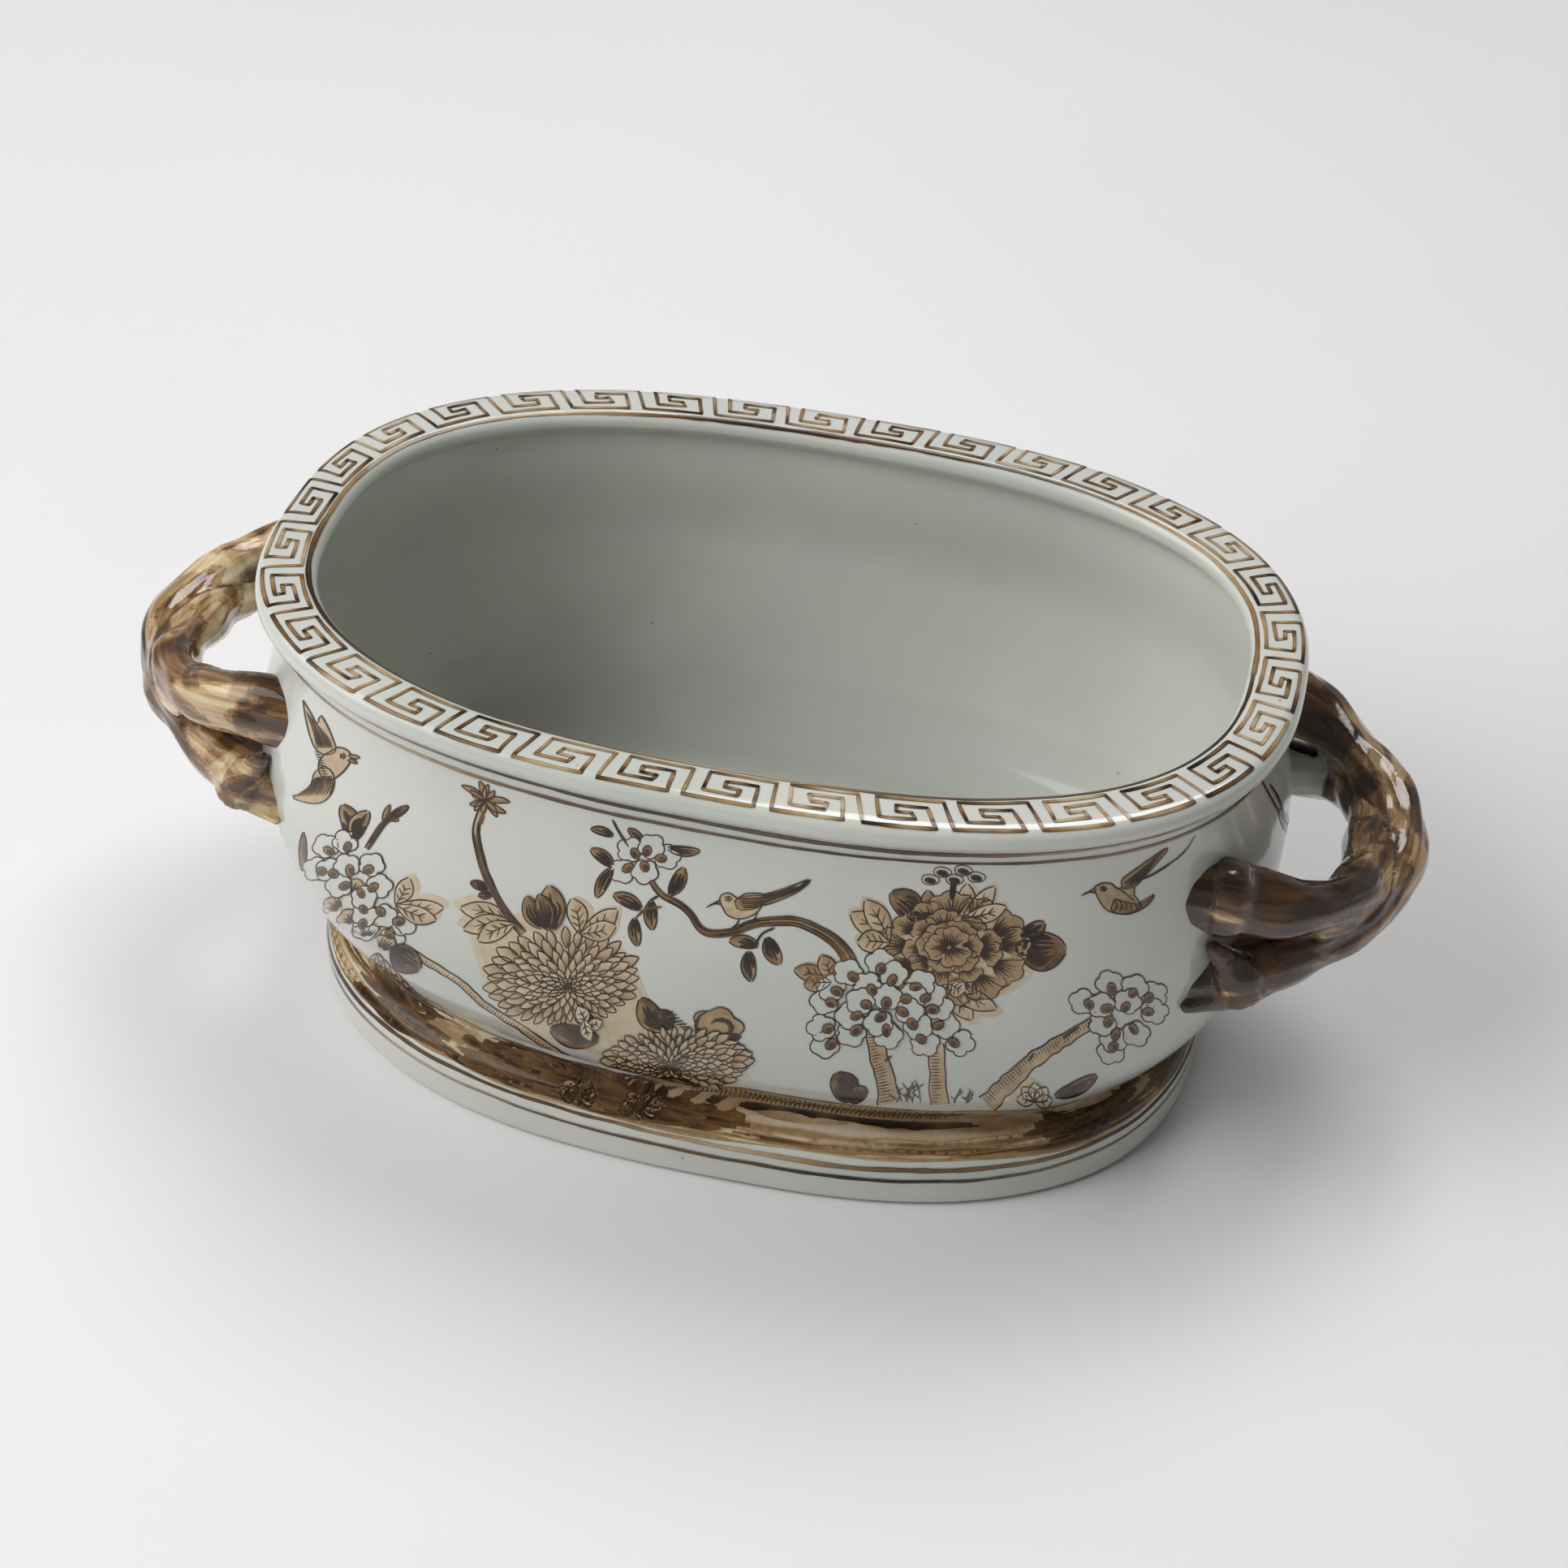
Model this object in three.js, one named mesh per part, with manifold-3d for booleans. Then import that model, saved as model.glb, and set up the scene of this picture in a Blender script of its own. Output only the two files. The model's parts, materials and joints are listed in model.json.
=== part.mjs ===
// Oval porcelain planter with a flat rolled rim, a spreading foot and two
// side handles of entwined branches. Millimetres, +Z up. The origin is the
// centre of the foot's lower face. X runs along the long axis, through the
// handles. The painted front looks towards -Y.
import * as THREE from "three";
import { mergeVertices } from "three/addons/utils/BufferGeometryUtils.js";
import Module from "manifold-3d";

// Plan of the pot, a superellipse
const RIM_HALF_LENGTH = 200;
const RIM_HALF_WIDTH = 130;
const PLAN_POWER = 2.5;

// Heights
const POT_HEIGHT = 193;
const RIM_THICKNESS = 15;
const FOOT_HEIGHT = 30;
const FLOOR_THICKNESS = 10;
const WALL_TOP = POT_HEIGHT - RIM_THICKNESS;
const FLOOR_TOP = FOOT_HEIGHT + FLOOR_THICKNESS;

// Foot and waist, as insets from the rim's outline
const FOOT_INSET_LENGTH = 18;
const FOOT_INSET_WIDTH = 3.5;
const WAIST_INSET_LENGTH = 28;
const WAIST_INSET_WIDTH = 20;
const WAIST_RISE = 4;
const FOOT_BAND_HEIGHT = 18;
const FOOT_BAND_EDGE = 2;
const FOOT_RING_WIDTH = 13;
const FOOT_RING_TAPER = 3;
const FOOT_SEAT_WIDTH = 9;

// Wall
const WALL_THICKNESS = 9;
const BELLY_SHARE = 0.565;
const BELLY_SWELL = 2.5;
const BELLY_FULLNESS = 2.4;
const BELLY_TUCK = 0.72;
const NECK_INSET = 6.6;
const NECK_SHARE = 0.92;
const INNER_CORNER_RADIUS = 30;
const INNER_CORNER_DEPTH = 27;
const INNER_CORNER_LEAST_RISE = 22;

// Rim
const RIM_FLANGE_WIDTH = 24;
const RIM_EDGE_RADIUS = 6;
const RIM_LIP_RADIUS = 5.5;
const RIM_LIP_OVERHANG = 4.5;

// Handles
const LEFT_HANDLE_REACH = 43.5;
const RIGHT_HANDLE_REACH = 36.5;
const HANDLE_ROOT_DEPTH = 36.5;
const HANDLE_HALF_SPAN = 66;
const HANDLE_PLAN_POWER = 2.3;
const RIGHT_HANDLE_DROP = 72.5;
const LEFT_HANDLE_DROP = 69;
const PRONG_SPREAD = 19.5;
const TWIST_OFFSET = 6.5;
const STRAND_RADIUS = 10;
const UPPER_PRONG_RADIUS = 13.2;
const LOWER_PRONG_RADIUS = 12.2;
const TWIST_REACH = 0.5;
const SPREAD_START = 0.3;
const KNOT_SWELL = 0.05;
const KNOT_TURNS = 9;

// Thorns that stand on the lower prongs against the wall
const THORN_LENGTH = 19;
const THORN_BASE_RADIUS = 7;
const THORN_TIP_RADIUS = 0.5;
const THORN_STAND_OFF = 8.7;
const THORN_LEAN = 8;
const THORN_SWEEP = 5;

// Clearance between neighbouring curved faces
const SEAM_GAP = 0.3;

// Mesh steps
const PLAN_STEPS = 72;
const WALL_STEPS = 13;
const INNER_WALL_STEPS = 10;
const RIM_EDGE_STEPS = 6;
const RIM_LIP_STEPS = 5;
const FOOT_SLOPE_STEPS = 5;
const STRAND_STEPS = 40;
const STRAND_SIDES = 16;
const THORN_STEPS = 6;
const THORN_SIDES = 10;
const FINE_STEPS = 2880;

// Sizes that follow from the ones above
const BELLY_Z = FLOOR_TOP + BELLY_SHARE * (WALL_TOP - FLOOR_TOP);
const WAIST_Z = FOOT_HEIGHT + WAIST_RISE;
const BELLY_HALF_LENGTH = RIM_HALF_LENGTH + BELLY_SWELL;
const HANDLE_ROOT_X = BELLY_HALF_LENGTH - HANDLE_ROOT_DEPTH;

function mix(a, b, t) {
  return a + (b - a) * t;
}

function smoothStep(t) {
  const u = Math.min(Math.max(t, 0), 1);
  return u * u * (3 - 2 * u);
}

function signedPower(value, power) {
  return Math.sign(value) * Math.abs(value) ** power;
}

// Point of a superellipse with half axes a and b at parameter t.
function planPoint(a, b, t) {
  const x = a * signedPower(Math.cos(t), 2 / PLAN_POWER);
  const y = b * signedPower(Math.sin(t), 2 / PLAN_POWER);
  return new THREE.Vector2(x, y);
}

// Splits a curve into steps of equal length. Returns the parameters.
function evenParameters(curve, from, to, steps) {
  const lengths = [0];
  let before = curve(from);
  for (let i = 1; i <= FINE_STEPS; i += 1) {
    const here = curve(mix(from, to, i / FINE_STEPS));
    lengths.push(lengths[i - 1] + here.distanceTo(before));
    before = here;
  }
  const parameters = [];
  let k = 0;
  for (let j = 0; j <= steps; j += 1) {
    const target = (lengths[FINE_STEPS] * j) / steps;
    while (k < FINE_STEPS - 1 && lengths[k + 1] < target) {
      k += 1;
    }
    const share = (target - lengths[k]) / (lengths[k + 1] - lengths[k]);
    parameters.push(mix(from, to, (k + share) / FINE_STEPS));
  }
  return parameters;
}

// Every ring of the pot has its corners at the same parameters.
const PLAN_PARAMETERS = evenParameters(
  (t) => planPoint(RIM_HALF_LENGTH, RIM_HALF_WIDTH, t),
  0,
  2 * Math.PI,
  PLAN_STEPS,
).slice(0, PLAN_STEPS);

// A station is one height with its insets along the length and the width.
function station(z, insetLength, insetWidth = insetLength) {
  return { z, insetLength, insetWidth };
}

function planRing({ z, insetLength, insetWidth }) {
  return PLAN_PARAMETERS.map((t) => {
    const point = planPoint(RIM_HALF_LENGTH - insetLength, RIM_HALF_WIDTH - insetWidth, t);
    return [point.x, point.y, z];
  });
}

function geometryFrom(points, faces) {
  const geometry = new THREE.BufferGeometry();
  geometry.setAttribute("position", new THREE.Float32BufferAttribute(points.flat(), 3));
  geometry.setIndex(faces.flat());
  return geometry;
}

// Joins ring a to ring b, both given by the index of their first corner.
function stitch(faces, a, b, count) {
  for (let j = 0; j < count; j += 1) {
    const after = (j + 1) % count;
    faces.push([a + j, a + after, b + after], [a + j, b + after, b + j]);
  }
}

// Closed ring-shaped body. The stations run up the outside and down the
// inside of its section.
function ringBody(stations) {
  const points = stations.flatMap(planRing);
  const faces = [];
  stations.forEach((_, i) => {
    const next = (i + 1) % stations.length;
    stitch(faces, i * PLAN_STEPS, next * PLAN_STEPS, PLAN_STEPS);
  });
  return geometryFrom(points, faces);
}

// Body without a hole, closed by a flat face below and one above.
function plugBody(stations) {
  const points = stations.flatMap(planRing);
  const faces = [];
  const top = (stations.length - 1) * PLAN_STEPS;
  for (let i = 0; i < top; i += PLAN_STEPS) {
    stitch(faces, i, i + PLAN_STEPS, PLAN_STEPS);
  }
  const low = points.length;
  const high = low + 1;
  points.push([0, 0, stations[0].z], [0, 0, stations.at(-1).z]);
  for (let j = 0; j < PLAN_STEPS; j += 1) {
    const after = (j + 1) % PLAN_STEPS;
    faces.push([low, after, j], [high, top + j, top + after]);
  }
  return geometryFrom(points, faces);
}

// Quarter turn of a rounded edge, from one angle to another in degrees.
function arcStations(zCentre, insetCentre, radius, fromDegrees, toDegrees, steps) {
  const stations = [];
  for (let i = 0; i <= steps; i += 1) {
    const angle = THREE.MathUtils.degToRad(mix(fromDegrees, toDegrees, i / steps));
    const z = zCentre + radius * Math.sin(angle);
    stations.push(station(z, insetCentre - radius * Math.cos(angle)));
  }
  return stations;
}

// Outside of the wall: tucked in at the waist, fullest at the belly and
// drawn in again to a soft neck under the rim.
function bellyInset(z, waistInset) {
  if (z >= BELLY_Z) {
    const t = (z - BELLY_Z) / (WALL_TOP - BELLY_Z);
    return mix(-BELLY_SWELL, NECK_INSET, smoothStep(t / NECK_SHARE));
  }
  const t = (BELLY_Z - z) / (BELLY_Z - WAIST_Z);
  return mix(-BELLY_SWELL, waistInset, 1 - (1 - t ** BELLY_FULLNESS) ** BELLY_TUCK);
}

function outsideStation(z) {
  return station(z, bellyInset(z, WAIST_INSET_LENGTH), bellyInset(z, WAIST_INSET_WIDTH));
}

// Heights of the wall's rings, closer together near the floor.
function wallLevels(steps) {
  const levels = [];
  for (let i = 0; i <= steps; i += 1) {
    levels.push(mix(FLOOR_TOP, WALL_TOP, (i / steps) ** 1.5));
  }
  return levels;
}

function insideStation(z) {
  const level = Math.max(z, FLOOR_TOP + INNER_CORNER_LEAST_RISE);
  const outside = outsideStation(level);
  const drop = Math.max(0, FLOOR_TOP + INNER_CORNER_RADIUS - z) / INNER_CORNER_RADIUS;
  const corner = INNER_CORNER_DEPTH * (1 - Math.sqrt(Math.max(0, 1 - drop * drop)));
  const add = WALL_THICKNESS + corner;
  return station(z, outside.insetLength + add, outside.insetWidth + add);
}

function wallStations() {
  const outside = wallLevels(WALL_STEPS).map(outsideStation);
  const inside = wallLevels(INNER_WALL_STEPS).reverse().map(insideStation);
  return [...outside, ...inside];
}

function rimStations() {
  const lipInset = RIM_FLANGE_WIDTH - RIM_LIP_RADIUS;
  const edgeZ = POT_HEIGHT - RIM_EDGE_RADIUS;
  const lipZ = POT_HEIGHT - RIM_LIP_RADIUS;
  return [
    station(WALL_TOP, NECK_INSET),
    ...arcStations(edgeZ, RIM_EDGE_RADIUS, RIM_EDGE_RADIUS, -72, 68, RIM_EDGE_STEPS),
    station(POT_HEIGHT, RIM_EDGE_RADIUS),
    station(POT_HEIGHT, lipInset),
    ...arcStations(lipZ, lipInset, RIM_LIP_RADIUS, 112, 205, RIM_LIP_STEPS),
    station(WALL_TOP, RIM_FLANGE_WIDTH - RIM_LIP_OVERHANG),
  ];
}

// Upright band, then a hollow slope up to the waist.
function footStations() {
  const slope = [];
  for (let i = 0; i <= FOOT_SLOPE_STEPS; i += 1) {
    const turn = (i / FOOT_SLOPE_STEPS) * (Math.PI / 2);
    const run = 1 - Math.cos(turn);
    slope.push(station(
      mix(FOOT_BAND_HEIGHT, FOOT_HEIGHT, Math.sin(turn)),
      mix(FOOT_INSET_LENGTH, WAIST_INSET_LENGTH, run),
      mix(FOOT_INSET_WIDTH, WAIST_INSET_WIDTH, run),
    ));
  }
  const inner = (z, add) => station(z, FOOT_INSET_LENGTH + add, FOOT_INSET_WIDTH + add);
  return [
    inner(0, FOOT_BAND_EDGE),
    inner(FOOT_BAND_EDGE, 0),
    ...slope,
    station(FOOT_HEIGHT, WAIST_INSET_LENGTH + FOOT_SEAT_WIDTH, WAIST_INSET_WIDTH + FOOT_SEAT_WIDTH),
    inner(FOOT_BAND_HEIGHT, FOOT_RING_WIDTH + FOOT_RING_TAPER),
    inner(FOOT_BAND_EDGE, FOOT_RING_WIDTH),
    inner(0, FOOT_RING_WIDTH - FOOT_BAND_EDGE / 2),
  ];
}

function floorStations() {
  return [
    station(FOOT_HEIGHT, WAIST_INSET_LENGTH, WAIST_INSET_WIDTH),
    station(WAIST_Z, WAIST_INSET_LENGTH, WAIST_INSET_WIDTH),
    outsideStation((WAIST_Z + FLOOR_TOP) / 2),
    outsideStation(FLOOR_TOP),
  ];
}

// Centre line of a handle seen from above, on the +X side.
function handlePlan(angle, reach) {
  const outward = Math.max(Math.cos(angle), 0) ** (2 / HANDLE_PLAN_POWER);
  const across = signedPower(Math.sin(angle), 2 / HANDLE_PLAN_POWER);
  return new THREE.Vector2(mix(HANDLE_ROOT_X, BELLY_HALF_LENGTH + reach, outward), HANDLE_HALF_SPAN * across);
}

function handleStations(reach) {
  const quarter = Math.PI / 2;
  const nudge = 0.01;
  const plan = (angle) => handlePlan(angle, reach);
  return evenParameters(plan, -quarter, quarter, STRAND_STEPS).map((angle) => {
    const before = plan(Math.max(angle - nudge, -quarter));
    const after = plan(Math.min(angle + nudge, quarter));
    const along = after.sub(before).normalize();
    return { way: angle / quarter, point: plan(angle), outward: new THREE.Vector2(along.y, -along.x) };
  });
}

// Closed tube through rings of equal length, with flat ends.
function tubeBody(rings, turned) {
  const sides = rings[0].length;
  const faces = [];
  const last = (rings.length - 1) * sides;
  for (let i = 0; i < last; i += sides) {
    stitch(faces, i, i + sides, sides);
  }
  for (let j = 1; j + 1 < sides; j += 1) {
    faces.push([0, j + 1, j], [last, last + j, last + j + 1]);
  }
  if (turned) {
    faces.forEach((face) => face.reverse());
  }
  return geometryFrom(rings.flat(), faces);
}

// One strand of a handle. The strand that starts as the upper prong at the
// front ends as the lower prong at the back, and the other one the reverse.
// Where they lie together they share a flat seam, which turns half a turn
// along the middle of the handle.
function strandBody(side, upperAtFront, stations, height, extra) {
  const lift = upperAtFront ? 1 : -1;
  const rings = stations.map(({ way, point, outward }) => {
    const spread = smoothStep((Math.abs(way) - SPREAD_START) / (1 - SPREAD_START));
    const offset = mix(TWIST_OFFSET, PRONG_SPREAD, spread);
    const turn = Math.PI * smoothStep((way + TWIST_REACH) / (2 * TWIST_REACH));
    const prong = upperAtFront === way < 0 ? UPPER_PRONG_RADIUS : LOWER_PRONG_RADIUS;
    const knot = 1 + KNOT_SWELL * Math.sin(KNOT_TURNS * way * lift + 1) * (1 - spread);
    const radius = mix(STRAND_RADIUS, prong, spread) * knot + extra;
    const axisUp = lift * Math.cos(turn);
    const axisOut = -lift * Math.sin(turn);
    const ring = [];
    for (let j = 0; j < STRAND_SIDES; j += 1) {
      const around = (2 * Math.PI * j) / STRAND_SIDES;
      const away = Math.max(offset + radius * Math.cos(around), SEAM_GAP / 2 - extra);
      const across = radius * Math.sin(around);
      const up = axisUp * away + axisOut * across;
      const out = axisOut * away - axisUp * across;
      ring.push([side * (point.x + outward.x * out), point.y + outward.y * out, height + up]);
    }
    return ring;
  });
  return tubeBody(rings, side > 0);
}

// Distance of the wall's outside from the width axis at y and z.
function wallX(y, z) {
  const { insetLength, insetWidth } = outsideStation(z);
  const share = Math.abs(y) / (RIM_HALF_WIDTH - insetWidth);
  return (RIM_HALF_LENGTH - insetLength) * (1 - share ** PLAN_POWER) ** (1 / PLAN_POWER);
}

// Small curved thorn that rises from a lower prong and leans to the wall.
function thornBody(side, end, height) {
  const rootY = end * HANDLE_HALF_SPAN;
  const rootZ = height - PRONG_SPREAD + LOWER_PRONG_RADIUS / 2;
  const rootX = wallX(rootY, rootZ) + THORN_STAND_OFF;
  const rings = [];
  for (let i = 0; i <= THORN_STEPS; i += 1) {
    const t = i / THORN_STEPS;
    const radius = THORN_BASE_RADIUS * (1 - t) ** 0.75 + THORN_TIP_RADIUS;
    const ring = [];
    for (let j = 0; j < THORN_SIDES; j += 1) {
      const around = (2 * Math.PI * j) / THORN_SIDES;
      ring.push([
        side * (rootX - THORN_LEAN * t * t + radius * Math.cos(around)),
        rootY + radius * Math.sin(around) + end * THORN_SWEEP * t,
        rootZ + THORN_LENGTH * t,
      ]);
    }
    rings.push(ring);
  }
  return tubeBody(rings, side < 0);
}

// The pot's outside between floor and neck, grown by a clearance.
function potEnvelopeBody(clearance) {
  const grown = wallLevels(WALL_STEPS).map((z) => {
    const { insetLength, insetWidth } = outsideStation(z);
    return station(z, insetLength - clearance, insetWidth - clearance);
  });
  return plugBody(grown);
}

const wasm = await Module();
wasm.setup();

function toSolid(geometry) {
  const bare = geometry.clone();
  bare.deleteAttribute("normal");
  bare.deleteAttribute("uv");
  const merged = mergeVertices(bare, 1e-5);
  const mesh = new wasm.Mesh({
    numProp: 3,
    vertProperties: new Float32Array(merged.attributes.position.array),
    triVerts: new Uint32Array(merged.index.array),
  });
  return new wasm.Manifold(mesh);
}

function toGeometry(solid) {
  const mesh = solid.getMesh();
  const geometry = new THREE.BufferGeometry();
  const positions = new Float32Array(mesh.vertProperties);
  geometry.setAttribute("position", new THREE.BufferAttribute(positions, 3));
  geometry.setIndex(new THREE.BufferAttribute(new Uint32Array(mesh.triVerts), 1));
  return geometry;
}

const WHITE_GLAZE = 0xdfe3dd;
const INNER_GLAZE = 0xb9beb4;
const BARK_GLAZE = 0x7a5a38;
const DARK_BARK_GLAZE = 0x4a3524;
const GLAZE_ROUGHNESS = 0.2;

const planter = new THREE.Group();
planter.name = "oval_planter";

function addPart(parent, name, geometry, colour) {
  geometry.computeVertexNormals();
  const material = new THREE.MeshStandardMaterial({
    color: colour,
    roughness: GLAZE_ROUGHNESS,
    metalness: 0,
  });
  const mesh = new THREE.Mesh(geometry, material);
  mesh.name = name;
  parent.add(mesh);
}

addPart(planter, "foot_ring", ringBody(footStations()), WHITE_GLAZE);
addPart(planter, "bowl_floor", plugBody(floorStations()), INNER_GLAZE);
addPart(planter, "bowl_wall", ringBody(wallStations()), WHITE_GLAZE);
addPart(planter, "rim_flange", ringBody(rimStations()), WHITE_GLAZE);

const potEnvelope = toSolid(potEnvelopeBody(SEAM_GAP));

function addHandle(sideName, side, reach, height, colour) {
  const handle = new THREE.Group();
  handle.name = `${sideName}_handle`;
  const stations = handleStations(reach);
  const strand = (upperAtFront, extra) => toSolid(strandBody(side, upperAtFront, stations, height, extra));
  const upper = strand(true, 0).subtract(potEnvelope);
  const lower = strand(false, 0).subtract(potEnvelope);
  addPart(handle, `${sideName}_strand_upper_at_front`, toGeometry(upper), colour);
  addPart(handle, `${sideName}_strand_lower_at_front`, toGeometry(lower), colour);
  for (const [endName, end, prong] of [
    ["front", -1, strand(false, SEAM_GAP)],
    ["back", 1, strand(true, SEAM_GAP)],
  ]) {
    const thorn = toSolid(thornBody(side, end, height)).subtract(potEnvelope).subtract(prong);
    addPart(handle, `${sideName}_${endName}_thorn`, toGeometry(thorn), DARK_BARK_GLAZE);
  }
  planter.add(handle);
}

addHandle("left", -1, LEFT_HANDLE_REACH, POT_HEIGHT - LEFT_HANDLE_DROP, BARK_GLAZE);
addHandle("right", 1, RIGHT_HANDLE_REACH, POT_HEIGHT - RIGHT_HANDLE_DROP, DARK_BARK_GLAZE);

// The origin lies midway between the outer ends of the two handles.
planter.position.x = (LEFT_HANDLE_REACH - RIGHT_HANDLE_REACH) / 2;

export default planter;
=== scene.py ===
import json
import math

import bpy
import numpy as np
from mathutils import Matrix
from mathutils.kdtree import KDTree

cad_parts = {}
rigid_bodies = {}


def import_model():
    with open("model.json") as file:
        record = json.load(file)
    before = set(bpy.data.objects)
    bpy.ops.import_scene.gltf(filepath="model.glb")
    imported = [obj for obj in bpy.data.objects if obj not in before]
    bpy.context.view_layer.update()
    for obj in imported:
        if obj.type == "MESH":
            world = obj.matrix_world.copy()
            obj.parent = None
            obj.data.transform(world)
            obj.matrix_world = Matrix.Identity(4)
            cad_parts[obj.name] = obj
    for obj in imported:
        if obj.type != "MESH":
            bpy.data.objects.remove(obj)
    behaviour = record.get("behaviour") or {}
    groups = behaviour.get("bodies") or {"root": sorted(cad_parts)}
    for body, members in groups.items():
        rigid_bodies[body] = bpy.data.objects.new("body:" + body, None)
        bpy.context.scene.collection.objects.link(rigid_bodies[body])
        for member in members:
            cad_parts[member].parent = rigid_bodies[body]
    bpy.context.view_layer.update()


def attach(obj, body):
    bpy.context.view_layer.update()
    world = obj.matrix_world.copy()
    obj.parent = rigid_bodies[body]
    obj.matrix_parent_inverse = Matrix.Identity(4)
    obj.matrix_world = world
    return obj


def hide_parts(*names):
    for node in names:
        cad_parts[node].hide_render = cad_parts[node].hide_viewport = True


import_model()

# Lengths are in millimetres and count from the bowl's middle. new_piece and
# make_camera turn them into metres of the frame, where the bowl stands aside.
MM = 0.001
BOWL_MIDDLE = np.array([3.5, 0, 0])

# Plan and section of the pot, as in the CAD
RIM_HALF_LENGTH, RIM_HALF_WIDTH, PLAN_POWER = 200, 130, 2.5
POT_HEIGHT, WALL_TOP, FLOOR_TOP = 193, 178, 40
FOOT_HEIGHT, FOOT_BAND_HEIGHT, FOOT_BAND_EDGE = 30, 18, 2
FOOT_INSET, WAIST_INSET, WAIST_Z = np.array([18, 3.5]), np.array([28, 20]), 34
FOOT_SEAT_WIDTH, FOOT_RING_WIDTH, FOOT_RING_TAPER = 9, 13, 3
WALL_THICKNESS, INNER_CORNER_RADIUS, INNER_CORNER_DEPTH, LEAST_RISE = 9, 30, 27, 22
BELLY_SWELL, BELLY_FULLNESS, BELLY_TUCK, NECK_INSET, NECK_SHARE = 2.5, 2.4, 0.72, 6.6, 0.92
BELLY_Z = FLOOR_TOP + 0.565 * (WALL_TOP - FLOOR_TOP)
RIM_FLANGE_WIDTH, RIM_EDGE_RADIUS, RIM_LIP_RADIUS, RIM_LIP_OVERHANG = 24, 6, 5.5, 4.5

# Handles, as in the CAD
HANDLE_ROOT_X, HANDLE_HALF_SPAN, HANDLE_PLAN_POWER = 166, 66, 2.3
HANDLE_CREST_X = {"right": 239, "left": 246}
HANDLE_HEIGHT = {"right": 120.5, "left": 124}
PRONG_SPREAD, TWIST_OFFSET, STRAND_RADIUS = 19.5, 6.5, 10
UPPER_PRONG_RADIUS, LOWER_PRONG_RADIUS, TWIST_REACH, SPREAD_START = 13.2, 12.2, 0.5, 0.3

# The photograph's camera, in millimetres and degrees
PHOTO_SIDE, PHOTO_FOCAL = 1932, 3739
CAMERA_AZIMUTH, CAMERA_ELEVATION, CAMERA_ROLL = 12.46, 39.5, 2.64
CAMERA_DISTANCE, CAMERA_RIGHT, CAMERA_UP = 1268, 4.43, 75.08
SENSOR_WIDTH = 36


def mix(a, b, t):
    return a + (b - a) * t


def smooth_step(t):
    u = np.clip(t, 0, 1)
    return u * u * (3 - 2 * u)


def signed_power(value, power):
    return np.sign(value) * np.abs(value) ** power


def unit(v):
    return v / np.maximum(np.linalg.norm(v, axis=-1, keepdims=True), 1e-9)


# Camera

def camera_axes():
    azimuth, elevation = math.radians(CAMERA_AZIMUTH), math.radians(CAMERA_ELEVATION)
    back = np.array([
        math.sin(azimuth) * math.cos(elevation),
        -math.cos(azimuth) * math.cos(elevation),
        math.sin(elevation),
    ])
    right = np.array([math.cos(azimuth), math.sin(azimuth), 0])
    up = np.cross(back, right)
    place = CAMERA_RIGHT * right + CAMERA_UP * up + CAMERA_DISTANCE * back
    roll = math.radians(CAMERA_ROLL)
    across = math.cos(roll) * right + math.sin(roll) * up
    upward = math.cos(roll) * up - math.sin(roll) * right
    return place, across, upward, back


CAMERA_PLACE, CAMERA_ACROSS, CAMERA_UPWARD, CAMERA_BACK = camera_axes()


def photo_pixel(points):
    """Where points of the row frame lie in the photograph."""
    q = points - CAMERA_PLACE
    depth = -q @ CAMERA_BACK
    middle = PHOTO_SIDE / 2
    x = middle + PHOTO_FOCAL * (q @ CAMERA_ACROSS) / depth
    y = middle - PHOTO_FOCAL * (q @ CAMERA_UPWARD) / depth
    return np.stack([x, y], -1)


def make_camera():
    data = bpy.data.cameras.new("photo_camera")
    data.sensor_width = SENSOR_WIDTH
    data.lens = PHOTO_FOCAL * SENSOR_WIDTH / PHOTO_SIDE
    data.clip_start, data.clip_end = 0.05, 30
    camera = bpy.data.objects.new("photo_camera", data)
    bpy.context.scene.collection.objects.link(camera)
    axes = np.eye(4)
    axes[:3, 0], axes[:3, 1], axes[:3, 2] = CAMERA_ACROSS, CAMERA_UPWARD, CAMERA_BACK
    axes[:3, 3] = (CAMERA_PLACE + BOWL_MIDDLE) * MM
    camera.matrix_world = Matrix(axes.tolist())
    bpy.context.scene.camera = camera


# The pot's surface. s is the share of the way round the plan, from the right
# handle by the back to the left one. v is the way along the section, from the
# middle of the underside to the middle of the bowl's floor.

def belly_inset(z, waist):
    above = mix(-BELLY_SWELL, NECK_INSET, smooth_step((z - BELLY_Z) / (WALL_TOP - BELLY_Z) / NECK_SHARE))
    t = np.clip((BELLY_Z - z) / (BELLY_Z - WAIST_Z), 0, 1)
    below = mix(-BELLY_SWELL, waist, 1 - (1 - t**BELLY_FULLNESS) ** BELLY_TUCK)
    return np.where(z >= BELLY_Z, above, below)


def outside_stations(levels):
    return [[z, *(float(belly_inset(z, w)) for w in WAIST_INSET)] for z in levels]


def inside_stations(levels):
    stations = []
    for z in levels:
        outside = outside_stations([max(z, FLOOR_TOP + LEAST_RISE)])[0]
        drop = max(0, FLOOR_TOP + INNER_CORNER_RADIUS - z) / INNER_CORNER_RADIUS
        add = WALL_THICKNESS + INNER_CORNER_DEPTH * (1 - math.sqrt(max(0, 1 - drop * drop)))
        stations.append([z, outside[1] + add, outside[2] + add])
    return stations


def arc_stations(z, inset, radius, start, end, steps):
    angles = np.radians(np.linspace(start, end, steps + 1))
    return [[z + radius * math.sin(a), *[inset - radius * math.cos(a)] * 2] for a in angles]


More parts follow.
